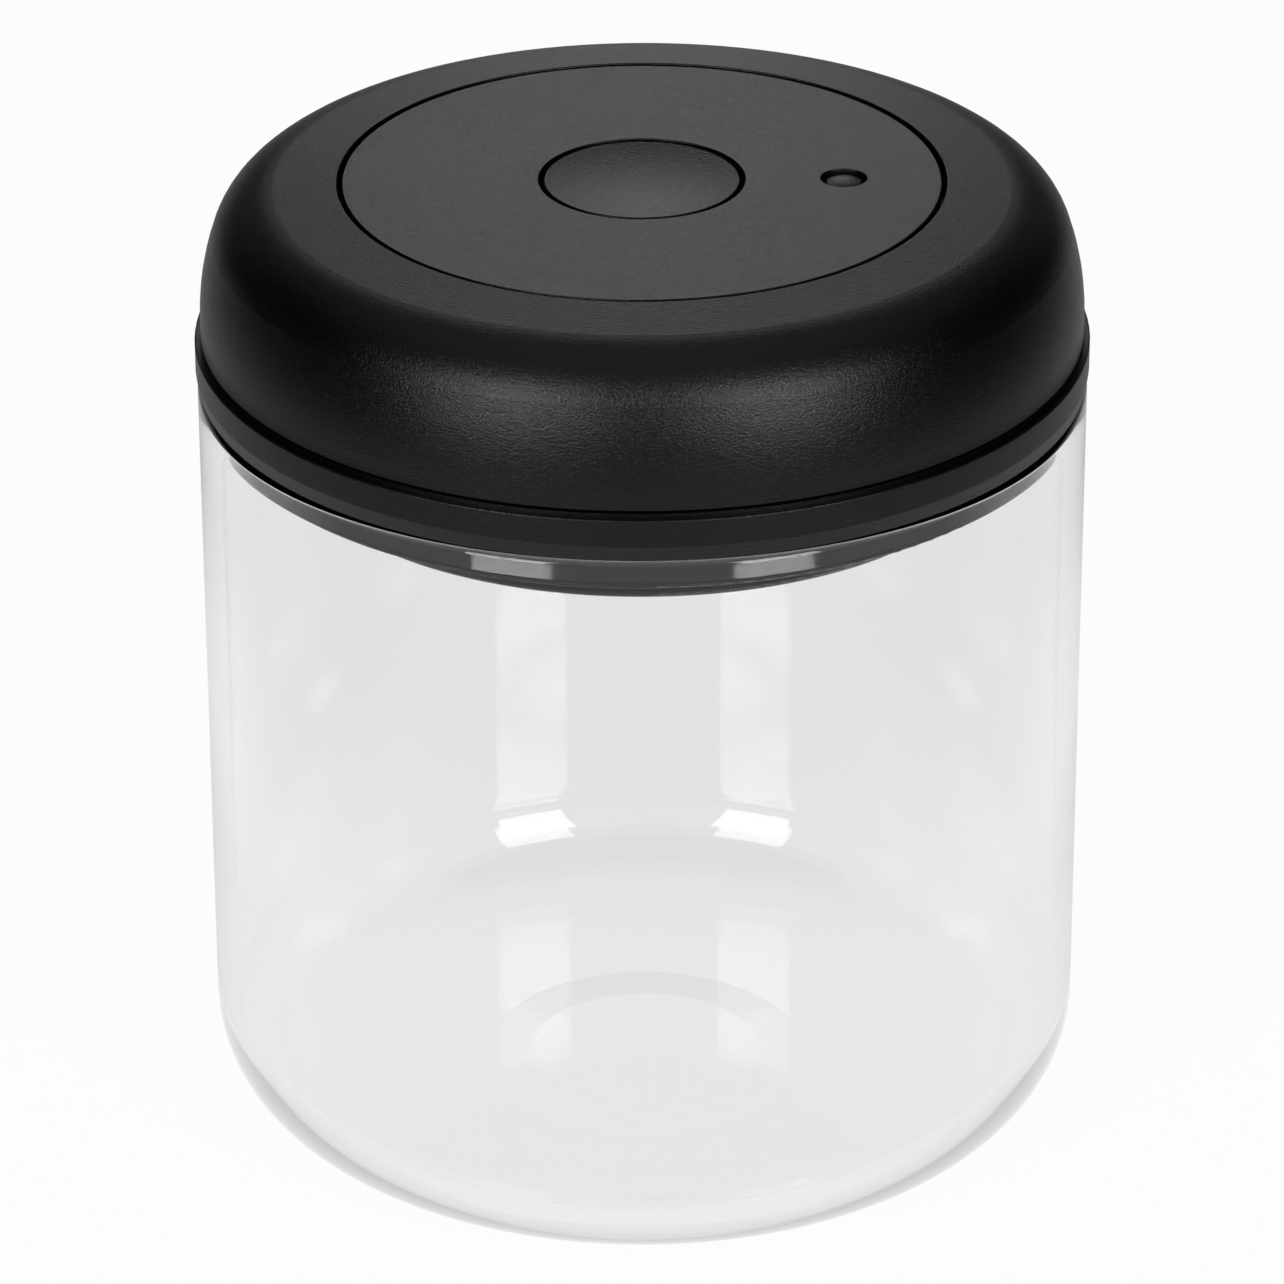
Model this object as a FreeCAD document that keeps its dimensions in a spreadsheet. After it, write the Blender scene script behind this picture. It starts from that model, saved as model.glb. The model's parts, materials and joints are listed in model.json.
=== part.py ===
import FreeCAD, Part
import math
import os
import Sketcher
from types import SimpleNamespace
from FreeCAD import Placement, Rotation, Vector

# Vacuum seal canister: a glass jar with a lid whose domed ring is twisted to and fro.
# The ring turns a barrel cam, the cam lifts an annular piston, and the piston draws air out of the jar.
# The axis of the jar is Z and the jar stands on z = 0. Lengths are in millimetres, angles in degrees.

os.makedirs("parts", exist_ok=True)

doc = FreeCAD.newDocument("VacuumCanister")

# Driving dimensions: name, value, meaning
DIMENSIONS = [
    # glass jar
    ("jar_radius", "53.8", "outside of the glass wall"),
    ("jar_height", "97.0", "table to rim"),
    ("jar_wall", "2.6", "thickness of the glass wall"),
    ("jar_floor", "3.5", "thickness of the glass floor"),
    ("jar_corner", "13.25", "outer rounding between wall and foot"),
    ("rim_round", "1.0", "fire polished edges of the rim"),
    ("foot_width", "20.0", "flat ring that the jar stands on"),
    ("hollow_rise", "0.5", "rise of the hollow inside the foot"),
    ("hollow_slope", "6.0", "width of the slope into the hollow"),
    # plug and flange of the lid
    ("rim_gap", "0.2", "flange above the glass rim"),
    ("flange_height", "5.2", "flange, glass rim to the groove under the twist ring"),
    ("flange_overhang", "0.2", "flange beyond the glass"),
    ("flange_round", "0.2", "rounded upper edge of the flange"),
    ("flange_taper", "0.3", "flange narrower at the glass rim"),
    ("taper_height", "1.8", "lower part of the flange that narrows"),
    ("track_height", "0.4", "track under the edge of the twist ring"),
    ("track_inset", "0.25", "that track inside the face of the twist ring"),
    ("plug_clear", "0.6", "plug to glass"),
    ("plug_wall", "2.2", "upper wall of the plug"),
    ("plug_land", "1.55", "plug between the flange and the gasket"),
    ("skirt_step", "0.6", "skirt smaller than the plug"),
    ("skirt_thick", "0.6", "skirt under the gasket"),
    ("skirt_wall", "6.7", "width of the skirt around the filter cover"),
    ("skirt_round", "0.3", "rounded lower edge of the skirt"),
    ("groove_height", "2.8", "height of the gasket groove"),
    ("groove_depth", "2.1", "depth of the gasket groove"),
    ("groove_back", "2.3", "wall behind the groove"),
    ("shelf_thick", "1.7", "shelf over the groove"),
    ("recess_depth", "1.7", "recess that takes the filter cover"),
    ("floor_thick", "2.0", "floor of the lid"),
    # gasket
    ("gasket_clear", "0.1", "gasket to its groove"),
    ("gasket_reach", "0.25", "gasket lip to the glass"),
    ("lip_edge", "0.3", "thickness of the lip at its tip"),
    ("lip_under", "0.2", "rise of the under side of the lip"),
    # top of the lid
    ("lid_height", "19.45", "flange to the top of the plate"),
    ("crown_width", "17.4", "top of the dome, from its side to the top plate"),
    ("plate_thick", "1.6", "top plate"),
    ("plate_round", "0.15", "rounded edges beside the seams"),
    ("seam_width", "0.6", "gap around the top plate"),
    ("retainer_thick", "1.8", "retainer plate"),
    ("running_clear", "0.3", "between faces that turn on each other"),
    # pump
    ("pump_width", "9.4", "between the two walls of the pump"),
    ("drum_wall", "2.0", "wall of the guide drum"),
    ("drum_clear", "0.7", "guide drum under the ledge of the twist ring"),
    ("core_wall", "1.8", "inner pump wall"),
    ("slide_clear", "0.3", "piston to the pump walls"),
    ("seal_clear", "0.15", "piston seals to the pump walls"),
    ("stroke", "6.5", "lift of the piston"),
    ("twist_angle", "60", "turn of the ring for one stroke"),
    ("station_count", "3", "pins, valves, keys, screws and snaps around the lid"),
    ("crown_thick", "3.4", "piston crown"),
    ("crown_lip", "0.5", "lip under the seal grooves"),
    ("seal_height", "1.9", "seal grooves"),
    ("seal_depth", "1.5", "seal grooves"),
    ("sleeve_wall", "1.9", "guide sleeve of the piston"),
    ("sleeve_lip", "0.6", "sleeve above its pins"),
    ("pin_radius", "1.6", "follower pins"),
    ("pin_clear", "0.3", "follower pins in their slots"),
    ("pin_fit", "0.05", "pressed and glued pieces in their holes"),
    ("pin_headroom", "3.3", "top of the drum above the raised pins"),
    ("cam_clear", "0.4", "cam ring to the guide drum"),
    ("cam_wall", "2.8", "cam ring"),
    ("cam_margin", "1.8", "cam ring above its slots"),
    ("slot_relief", "0.1", "round ends of the cam slots beyond their sides"),
    ("key_thick", "4.0", "drive keys of the twist ring"),
    ("key_clear", "0.3", "drive keys in their channels"),
    ("key_lift", "2.0", "drive keys above the edge of the ring"),
    ("channel_wall", "1.6", "ribs beside each drive key"),
    ("channel_gap", "1.4", "those ribs to the plug"),
    ("channel_lift", "1.0", "those ribs above the shelf"),
    # valves
    ("valve_cap_radius", "2.4", "umbrella valves"),
    ("valve_cap_thick", "1.0", "umbrella valves at the middle"),
    ("valve_cap_edge", "0.4", "umbrella valves at the rim"),
    ("valve_stem_radius", "0.7", "umbrella valves"),
    ("valve_knob_radius", "1.1", "umbrella valves"),
    ("valve_knob_length", "1.0", "umbrella valves"),
    ("valve_clear", "0.4", "valves to the piston above them"),
    ("port_radius", "0.5", "air ports under the valves"),
    ("port_circle", "1.3", "air ports from the middle of their valve"),
    ("port_count", "4", "air ports for each valve"),
    # filter
    ("cover_clear", "0.3", "filter cover in the skirt"),
    ("cover_depth", "6.45", "filter cover below the floor of the lid"),
    ("cover_round", "0.8", "rounded lower edge of the filter cover"),
    ("cover_thick", "1.2", "filter cover"),
    ("cover_rim", "1.4", "rim of the filter cover"),
    ("vent_gap", "0.4", "vent seal in the filter cover"),
    ("filter_thick", "1.2", "felt"),
    ("filter_margin", "0.8", "felt beyond the slots"),
    ("slot_width", "2.2", "slots of the filter cover"),
    ("slot_length", "11.5", "slots of the filter cover"),
    ("slot_margin", "5.8", "slots to the rim of the filter cover"),
    ("slot_count", "30", "slots of the filter cover"),
    # twist ring
    ("ring_gap", "0.8", "twist ring above the flange"),
    ("dome_inset", "0.75", "twist ring inside the edge of the flange"),
    ("dome_wall", "2.2", "twist ring"),
    ("dome_straight", "2.2", "upright part of the side"),
    ("side_arc", "30.0", "radius of the leaning side"),
    ("shoulder_arc", "8.7", "radius of the shoulder"),
    ("hollow_arc", "10.5", "inner rounding under the shoulder"),
    ("plate_sink", "0.1", "plate below the ring at the seam"),
    ("crown_angle", "5.7", "slope of the top"),
    ("ledge_reach", "3.4", "ledge that the retainer plate holds down"),
    ("ledge_thick", "1.7", "ledge that the retainer plate holds down"),
    # retainer, screws and snaps
    ("post_radius", "3.6", "screw posts"),
    ("boss_drop", "2.2", "bosses under the retainer plate"),
    ("screw_radius", "1.25", "screw shanks"),
    ("screw_length", "9.0", "screws under their heads"),
    ("screw_clear", "0.2", "screws in the retainer plate"),
    ("head_radius", "2.6", "screw heads"),
    ("head_thick", "1.5", "screw heads"),
    ("drive_radius", "1.0", "socket in the screw heads"),
    ("drive_depth", "0.9", "socket in the screw heads"),
    ("snap_inset", "6.6", "snap legs inside the edge of the plate"),
    ("snap_wide", "6.0", "snap legs"),
    ("snap_thick", "1.4", "snap legs"),
    ("snap_hook", "0.8", "hooks of the snap legs"),
    ("snap_drop", "1.6", "snap legs below the retainer plate"),
    ("snap_clear", "0.2", "snap legs in their windows"),
    # button and vent
    ("button_radius", "11.75", "button"),
    ("button_gap", "0.6", "gap around the button"),
    ("button_sink", "0.1", "button below the plate"),
    ("button_round", "0.2", "rounded edge of the button"),
    ("dish_depth", "1.2", "hollow of the button"),
    ("button_thick", "2.6", "button, edge to under side"),
    ("button_skirt", "7.5", "height of the button"),
    ("button_wall", "1.6", "skirt of the button"),
    ("button_travel", "3.0", "way down"),
    ("guide_wall", "1.6", "tube that guides the button"),
    ("guide_drop", "7.5", "tube that guides the button"),
    ("boss_radius", "3.3", "boss that holds the stem"),
    ("boss_length", "6.4", "boss that holds the stem"),
    ("socket_roof", "0.6", "material above the stem"),
    ("stem_radius", "1.5", "vent stem"),
    ("vent_bore", "3.6", "air way around the stem"),
    ("fin_clear", "0.35", "fins of the stem in the air way"),
    ("fin_thick", "1.0", "fins of the stem"),
    ("fin_lift", "0.8", "fins of the stem above the floor of the lid"),
    ("column_wall", "2.9", "column around the air way"),
    ("seat_gap", "0.1", "vent seal below its seat"),
    ("vent_seal_radius", "5.6", "vent seal"),
    ("vent_seal_thick", "1.6", "vent seal"),
    ("vent_lip", "0.3", "sealing lip of the vent seal"),
    ("vent_lip_width", "0.7", "sealing lip of the vent seal"),
    ("stem_foot_radius", "5.0", "foot of the stem"),
    ("stem_foot_thick", "1.2", "foot of the stem"),
    ("spring_length", "13.4", "button spring as built in"),
    ("spring_radius", "5.0", "button spring, middle of the wire"),
    ("spring_wire", "0.8", "button spring"),
    ("spring_turns_count", "5", "button spring"),
    ("spring_seat_gap", "0.1", "springs to their seats"),
    # indicator
    ("indicator_radius", "2.05", "indicator pin"),
    ("indicator_gap", "0.7", "gap around the pin"),
    ("indicator_sink", "0.15", "pin below the plate"),
    ("indicator_dome", "0.3", "domed top of the pin"),
    ("indicator_cap", "0.15", "edge of the pin above the band"),
    ("indicator_rise", "2.0", "way up when the vacuum is lost"),
    ("band_height", "1.7", "coloured band"),
    ("band_thick", "0.55", "coloured band"),
    ("bore_radius", "2.9", "bore of the indicator"),
    ("bore_wall", "1.5", "tube of the indicator"),
    ("bore_inset", "0.45", "that tube inside the face of the pump wall"),
    ("bore_margin", "4.0", "tube of the indicator above the raised cup seal"),
    ("bore_port", "0.8", "port under the indicator"),
    ("cup_clear", "0.15", "cup seal in its bore"),
    ("cup_height", "2.2", "cup seal"),
    ("cup_lip", "0.6", "lip of the cup seal"),
    ("cup_web", "0.9", "solid part of the cup seal"),
    ("foot_radius", "2.3", "foot of the pin"),
    ("foot_thick", "0.8", "foot of the pin"),
    ("shank_radius", "1.2", "lower part of the pin"),
    ("shank_length", "5.0", "lower part of the pin"),
    ("lift_spring_length", "3.8", "indicator spring as built in"),
    ("lift_spring_radius", "1.95", "indicator spring, middle of the wire"),
    ("lift_spring_wire", "0.5", "indicator spring"),
    ("lift_spring_turns_count", "3", "indicator spring"),
    # working allowance
    ("overrun", "0.5", "cuts run past the faces that they cut"),
]

# Upper corners of a drive key inside the shoulder, as shares of the shoulder's radius inwards and down
KEY_CORNER_SHARES = ((0.06, 0.94), (0.46, 0.28))
# Rounding at the bottom of a guide slot, as a share of its width
SLOT_ROUND_SHARE = 0.45
# Place of the indicator in the room that the button and the pump leave between them
INDICATOR_PLACE_SHARE = 0.83
# Place of the screw posts between the tube that guides the button and the pump wall
POST_PLACE_SHARE = 0.44


class Size:
    """A number together with the sheet expression that gives it."""

    def __init__(self, value, text):
        self.value = value
        self.text = text

    def __add__(self, other):
        other = size_of(other)
        return Size(self.value + other.value, f"({self.text} + {other.text})")

    def __sub__(self, other):
        other = size_of(other)
        return Size(self.value - other.value, f"({self.text} - {other.text})")

    def __mul__(self, other):
        other = size_of(other)
        return Size(self.value * other.value, f"({self.text} * {other.text})")

    def __truediv__(self, other):
        other = size_of(other)
        return Size(self.value / other.value, f"({self.text} / {other.text})")

    def __rtruediv__(self, other):
        return size_of(other) / self

    def __rsub__(self, other):
        return size_of(other) - self

    def __neg__(self):
        return Size(-self.value, f"(-1 * {self.text})")


def size_of(number):
    return number if isinstance(number, Size) else Size(float(number), repr(number))


def read_dimensions():
    sheet = doc.addObject("Spreadsheet::Sheet", "Dims")
    for row, (name, value, meaning) in enumerate(DIMENSIONS, start=1):
        sheet.set(f"A{row}", name)
        sheet.set(f"B{row}", value)
        sheet.set(f"C{row}", meaning)
        sheet.setAlias(f"B{row}", name)
    doc.recompute()
    sizes = {name: Size(float(sheet.get(name)), f"Dims.{name}") for name, value, meaning in DIMENSIONS}
    return SimpleNamespace(**sizes)


dim = read_dimensions()
zero = size_of(0)


# Working levels and radii

rim_bore = dim.jar_radius - dim.jar_wall
plug_radius = rim_bore - dim.plug_clear
flange_bottom = dim.jar_height + dim.rim_gap
flange_top = flange_bottom + dim.flange_height
flange_radius = dim.jar_radius + dim.flange_overhang
skirt_radius = plug_radius - dim.skirt_step
groove_top = flange_bottom - dim.plug_land
groove_bottom = groove_top - dim.groove_height
plug_bottom = groove_bottom - dim.skirt_thick
groove_radius = skirt_radius - dim.groove_depth
well_radius = groove_radius - dim.groove_back
shelf_top = groove_top + dim.shelf_thick
wall_radius = plug_radius - dim.plug_wall
recess_radius = skirt_radius - dim.skirt_wall
floor_bottom = plug_bottom + dim.recess_depth
floor_top = floor_bottom + dim.floor_thick

dome_radius = flange_radius - dim.dome_inset
track_radius = dome_radius - dim.track_inset
track_top = flange_top + dim.track_height
plate_radius = dome_radius - dim.crown_width
plate_top = flange_top + dim.lid_height
retainer_top = plate_top - dim.plate_thick
retainer_bottom = retainer_top - dim.retainer_thick
ledge_top = retainer_bottom - dim.running_clear
ledge_bottom = ledge_top - dim.ledge_thick
opening_radius = plate_radius + dim.seam_width
ledge_radius = opening_radius - dim.ledge_reach

button_hole = dim.button_radius + dim.button_gap
guide_outer = button_hole + dim.guide_wall
nearest_pin = guide_outer + dim.running_clear + dim.indicator_radius
bore_stack = dim.bore_radius + dim.bore_wall + dim.bore_inset
cam_stack = dim.drum_wall + dim.cam_clear + dim.cam_wall
spare_room = well_radius - dim.cam_clear - cam_stack - dim.pump_width - bore_stack - nearest_pin
indicator_place = nearest_pin + spare_room * INDICATOR_PLACE_SHARE
core_radius = indicator_place + bore_stack
core_inner = core_radius - dim.core_wall
drum_bore = core_radius + dim.pump_width
drum_outer = drum_bore + dim.drum_wall
drum_top = ledge_bottom - dim.drum_clear
nearest_post = guide_outer + dim.running_clear + dim.post_radius
farthest_post = core_radius - dim.running_clear - dim.post_radius
screw_circle = nearest_post + (farthest_post - nearest_post) * POST_PLACE_SHARE
piston_outer = drum_bore - dim.slide_clear
piston_inner = core_radius + dim.slide_clear
piston_bottom = floor_top + dim.valve_cap_thick + dim.valve_clear
crown_top = piston_bottom + dim.crown_thick
core_top = crown_top + dim.stroke
seal_bottom = piston_bottom + dim.crown_lip
seal_top = seal_bottom + dim.seal_height
sleeve_inner = piston_outer - dim.sleeve_wall
pin_level = drum_top - dim.pin_headroom - dim.stroke
pin_slot = dim.pin_radius + dim.pin_clear
sleeve_top = pin_level + dim.pin_radius + dim.sleeve_lip
cam_inner = drum_outer + dim.cam_clear
cam_outer = cam_inner + dim.cam_wall
cam_top = pin_level + dim.stroke + pin_slot + dim.cam_margin
valve_circle = (piston_inner + sleeve_inner) / 2
post_top = retainer_bottom - dim.boss_drop

button_top = plate_top - dim.button_sink
button_under = button_top - dim.button_thick
button_bottom = button_top - dim.button_skirt
boss_bottom = button_under - dim.boss_length
column_top = button_under - dim.spring_length
column_radius = dim.vent_bore + dim.column_wall
vent_seal_top = floor_bottom - dim.seat_gap
vent_seal_bottom = vent_seal_top - dim.vent_seal_thick
stem_top = button_top - dim.dish_depth - dim.socket_roof - dim.pin_fit

indicator_top = plate_top - dim.indicator_sink
indicator_hole = dim.indicator_radius + dim.indicator_gap
foot_bottom = floor_top + dim.lift_spring_length
foot_top = foot_bottom + dim.foot_thick
cup_top = foot_top + dim.cup_height
band_top = indicator_top - dim.indicator_dome - dim.indicator_cap
band_bottom = band_top - dim.band_height

# Angles of the stations, counted from the indicator at +X
station_step = 360 / dim.station_count
half_step = station_step / 2
snap_turn = station_step / 4
key_turn = (station_step - dim.twist_angle) / 2


# Ways of making a piece

def origin_feature(body, role):
    return next(item for item in body.Origin.OriginFeatures if item.Role == role)


def new_body(label):
    body = doc.addObject("PartDesign::Body", label)
    body.Label = label
    return body


def new_sketch(body, name, plane, offset=zero, turn=zero):
    """A sketch on a plane of its own body, moved along the normal and turned about the upright axis."""
    sketch = body.newObject("Sketcher::SketchObject", name)
    sketch.AttachmentSupport = (origin_feature(body, plane), [""])
    sketch.MapMode = "FlatFace"
    axis = Vector(0, 0, 1) if plane == "XY_Plane" else Vector(0, 1, 0)
    sketch.AttachmentOffset = Placement(Vector(0, 0, offset.value), Rotation(axis, turn.value))
    sketch.setExpression("AttachmentOffset.Base.z", offset.text)
    if turn is not zero:
        sketch.setExpression("AttachmentOffset.Rotation.Angle", turn.text)
    return sketch


def tie(sketch, kind, geometry, point, size):
    """Holds one coordinate of a point, or one radius, to an expression of the sheet."""
    if kind == "Radius":
        index = sketch.addConstraint(Sketcher.Constraint(kind, geometry, size.value))
    else:
        if size is zero:
            axis = -2 if kind == "DistanceX" else -1
            sketch.addConstraint(Sketcher.Constraint("PointOnObject", geometry, point, axis))
            return
        index = sketch.addConstraint(Sketcher.Constraint(kind, -1, 1, geometry, point, size.value))
    sketch.renameConstraint(index, f"{kind}{index}")
    sketch.setExpression(f"Constraints.{kind}{index}", size.text)


def place_point(sketch, geometry, point, place):
    tie(sketch, "DistanceX", geometry, point, place[0])
    tie(sketch, "DistanceY", geometry, point, place[1])


def flat(place):
    return Vector(place[0].value, place[1].value, 0)


def shifted(corner, towards, amount):
    """The point that lies the given amount from a corner, along a level or upright side."""
    step_x = towards[0].value - corner[0].value
    step_y = towards[1].value - corner[1].value
    if abs(step_x) > abs(step_y):
        return (corner[0] + amount if step_x > 0 else corner[0] - amount, corner[1])
    return (corner[0], corner[1] + amount if step_y > 0 else corner[1] - amount)


def arc_between(start, end, radius, centre):
    """The shorter arc between two points, and whether it runs anticlockwise."""
    first = math.atan2(start.y - centre.y, start.x - centre.x)
    last = math.atan2(end.y - centre.y, end.x - centre.x)
    forward = (last - first) % (2 * math.pi) < math.pi
    circle = Part.Circle(centre, Vector(0, 0, 1), radius)
    return Part.ArcOfCircle(circle, *((first, last) if forward else (last, first))), forward


def bow_centre(start, end, radius):
    """Centre of a bowed side: left of the way for a positive radius, right of it for a negative one."""
    chord = end - start
    left = Vector(-chord.y, chord.x, 0).normalize()
    height = math.sqrt(radius * radius - chord.Length * chord.Length / 4)
    return (start + end) * 0.5 + left * math.copysign(height, radius)


def add_side(sketch, start, end, bow):
    """A straight or bowed side. Gives its number and which of its points are its start and its end."""
    if bow is None:
        return sketch.addGeometry(Part.LineSegment(flat(start), flat(end))), 1, 2
    centre = bow_centre(flat(start), flat(end), bow.value)
    arc, forward = arc_between(flat(start), flat(end), abs(bow.value), centre)
    index = sketch.addGeometry(arc)
    tie(sketch, "Radius", index, 0, bow if bow.value > 0 else -bow)
    return index, 1 if forward else 2, 2 if forward else 1


def outline(sketch, corners, bows=None):
    """A closed outline of straight sides.

    A corner is (x, y), or (x, y, radius) where a level and an upright side meet in a rounding.
    A side that starts at a corner named in bows is an arc of that radius.
    """
    bows = bows or {}
    count = len(corners)
    ends = []
    for index, corner in enumerate(corners):
        after = corners[(index + 1) % count]
        start = shifted(corner, after, corner[2]) if len(corner) > 2 else corner
        end = shifted(after, corner, after[2]) if len(after) > 2 else after
        ends.append((start, end))
    sides = [add_side(sketch, start, end, bows.get(index)) for index, (start, end) in enumerate(ends)]
    for index, (start, end) in enumerate(ends):
        following = (index + 1) % count
        corner = corners[following]
        side, side_start, side_end = sides[index]
        after, after_start, after_end = sides[following]
        place_point(sketch, side, side_start, start)
        if len(corner) == 2:
            sketch.addConstraint(Sketcher.Constraint("Coincident", side, side_end, after, after_start))
            continue
        place_point(sketch, side, side_end, end)
        begin = flat(end)
        finish = flat(ends[following][0])
        arc, forward = arc_between(begin, finish, corner[2].value, begin + finish - flat(corner))
        rounding = sketch.addGeometry(arc)
        first, last = (1, 2) if forward else (2, 1)
        sketch.addConstraint(Sketcher.Constraint("Coincident", side, side_end, rounding, first))
        sketch.addConstraint(Sketcher.Constraint("Coincident", rounding, last, after, after_start))
        tie(sketch, "Radius", rounding, 0, corner[2])


def add_circle(sketch, x, y, radius):
    index = sketch.addGeometry(Part.Circle(Vector(x.value, y.value, 0), Vector(0, 0, 1), radius.value))
    place_point(sketch, index, 3, (x, y))
    tie(sketch, "Radius", index, 0, radius)


def revolve(body, name, corners, turn=zero, axis_place=None, bows=None, cut=False):
    """Turns an outline of (radius, height) corners about the upright axis, or about a line beside it."""
    sketch = new_sketch(body, f"{name}_outline", "XZ_Plane", turn=turn)
    feature_axis = "V_Axis"
    if axis_place is not None:
        corners = [(corner[0] + axis_place, *corner[1:]) for corner in corners]
    outline(sketch, corners, bows)
    if axis_place is not None:
        low = flat((axis_place, corners[0][1]))
        line = sketch.addGeometry(Part.LineSegment(low, low + Vector(0, axis_place.value, 0)), True)
        sketch.addConstraint(Sketcher.Constraint("Vertical", line))
        place_point(sketch, line, 1, (axis_place, corners[0][1]))
        tie(sketch, "DistanceY", line, 2, corners[0][1] + axis_place)
        feature_axis = "Axis0"
    return turned(body, name, sketch, feature_axis, cut)


def turned(body, name, sketch, axis="V_Axis", cut=False):
    feature = body.newObject("PartDesign::Groove" if cut else "PartDesign::Revolution", name)
    feature.Profile = (sketch, [""])
    feature.ReferenceAxis = (sketch, [axis])
    feature.Angle = 360
    return feature


def pad(body, name, sketch, length, midplane=False):
    feature = body.newObject("PartDesign::Pad", name)
    feature.Profile = (sketch, [""])
    feature.setExpression("Length", length.text)
    feature.Midplane = midplane
    return feature


def pocket(body, name, sketch, depth, outwards=False):
    """Cuts against the sketch's normal, or along it where the cut runs outwards."""
    feature = body.newObject("PartDesign::Pocket", name)
    feature.Profile = (sketch, [""])
    feature.setExpression("Length", depth.text)
    feature.Reversed = outwards
    return feature


def around(body, name, originals, count=dim.station_count):
    """Repeats features evenly around the upright axis."""
    pattern = body.newObject("PartDesign::PolarPattern", name)
    pattern.Originals = originals
    pattern.Axis = (origin_feature(body, "Z_Axis"), [""])
    pattern.Angle = 360
    pattern.setExpression("Occurrences", count.text)
    body.Tip = pattern
    return pattern


def round_edges(body, name, places, radius):
    """Rounds circular edges at (radius, height) places, or at (radius, height, x of the middle)."""
    doc.recompute()
    base = body.Tip
    names = []
    for number, edge in enumerate(base.Shape.Edges, start=1):
        if not isinstance(edge.Curve, Part.Circle):
            continue
        for place in places:
            centre = Vector(place[2].value if len(place) > 2 else 0, 0, place[1].value)
            same_radius = math.isclose(edge.Curve.Radius, place[0].value, rel_tol=1e-6)
            if same_radius and edge.Curve.Center.isEqual(centre, dim.overrun.value * 1e-3):
                names.append(f"Edge{number}")
    feature = body.newObject("PartDesign::Fillet", name)
    feature.Base = (base, names)
    feature.setExpression("Radius", radius.text)
    return feature


def stand_at_indicator(body):
    body.setExpression("Placement.Base.x", indicator_place.text)


# Glass jar

def make_jar():
    body = new_body("glass_jar")
    foot_inner = dim.jar_radius - dim.jar_corner - dim.foot_width
    revolve(body, "jar_wall_and_foot", [
        (zero, dim.hollow_rise),
        (foot_inner - dim.hollow_slope, dim.hollow_rise),
        (foot_inner, zero),
        (dim.jar_radius, zero, dim.jar_corner),
        (dim.jar_radius, dim.jar_height, dim.rim_round),
        (rim_bore, dim.jar_height, dim.rim_round),
        (rim_bore, dim.jar_floor, dim.jar_corner - dim.jar_wall),
        (zero, dim.jar_floor),
    ])
    return body


# Lid base: plug, flange, pump walls, guide drum, screw posts and indicator tube

def make_lid_base():
    body = new_body("lid_base")
    revolve(body, "plug_and_walls", [
        (dim.vent_bore, floor_bottom),
        (recess_radius, floor_bottom),
        (recess_radius, plug_bottom),
        (skirt_radius, plug_bottom, dim.skirt_round),
        (skirt_radius, groove_bottom),
        (groove_radius, groove_bottom),
        (groove_radius, groove_top),
        (plug_radius, groove_top),
        (plug_radius, flange_bottom),
        (flange_radius - dim.flange_taper, flange_bottom),
        (flange_radius, flange_bottom + dim.taper_height),
        (flange_radius, flange_top, dim.flange_round),
        (track_radius, flange_top),
        (track_radius, track_top),
        (wall_radius, track_top),
        (wall_radius, shelf_top),
        (well_radius, shelf_top),
        (well_radius, floor_top),
        (drum_outer, floor_top),
        (drum_outer, drum_top),
        (drum_bore, drum_top),
        (drum_bore, floor_top),
        (core_radius, floor_top),
        (core_radius, core_top),
        (core_inner, core_top),
        (core_inner, floor_top),
        (column_radius, floor_top),
        (column_radius, column_top),
        (dim.vent_bore, column_top),
    ])

    posts = new_sketch(body, "post_outline", "XY_Plane", offset=floor_top, turn=half_step)
    add_circle(posts, screw_circle, zero, dim.post_radius)
    add_circle(posts, screw_circle, zero, dim.screw_radius + dim.pin_fit)
    post = pad(body, "screw_post", posts, post_top - floor_top)
    around(body, "screw_posts", [post])

    tube = new_sketch(body, "tube_outline", "XY_Plane", offset=floor_top)
    add_circle(tube, indicator_place, zero, dim.bore_radius + dim.bore_wall)
    add_circle(tube, indicator_place, zero, dim.bore_radius)
    body.Tip = pad(body, "indicator_tube", tube, cup_top + dim.indicator_rise + dim.bore_margin - floor_top)

    port = new_sketch(body, "indicator_port_outline", "XY_Plane", offset=floor_top)
    add_circle(port, indicator_place, zero, dim.bore_port)
    body.Tip = pocket(body, "indicator_port", port, dim.floor_thick + dim.overrun)

    guide = new_sketch(body, "guide_slot_outline", "YZ_Plane", offset=drum_bore - dim.overrun)
    slot_round = pin_slot * 2 * SLOT_ROUND_SHARE
    outline(guide, [
        (-pin_slot, pin_level - pin_slot, slot_round),
        (pin_slot, pin_level - pin_slot, slot_round),
        (pin_slot, drum_top + dim.overrun),
        (-pin_slot, drum_top + dim.overrun),
    ])
    guide_slot = pocket(body, "guide_slot", guide, dim.drum_wall + dim.overrun * 2, outwards=True)
    around(body, "guide_slots", [guide_slot])

    valve_holes(body, "intake", floor_top, dim.floor_thick, zero)
    return body


def valve_holes(body, name, seat, thick, turn):
    """The stem hole of an umbrella valve and the ring of air ports that its cap covers."""
    sketch = new_sketch(body, f"{name}_ports_outline", "XY_Plane", offset=seat, turn=turn)
    add_circle(sketch, valve_circle, zero, dim.valve_stem_radius + dim.pin_fit)
    for number in range(int(dim.port_count.value)):
        angle = 2 * math.pi * number / dim.port_count.value
        across = dim.port_circle * math.cos(angle)
        along = dim.port_circle * math.sin(angle)
        add_circle(sketch, valve_circle + across, along, dim.port_radius)
    holes = pocket(body, f"{name}_port", sketch, thick + dim.overrun)
    around(body, f"{name}_ports", [holes])


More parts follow.
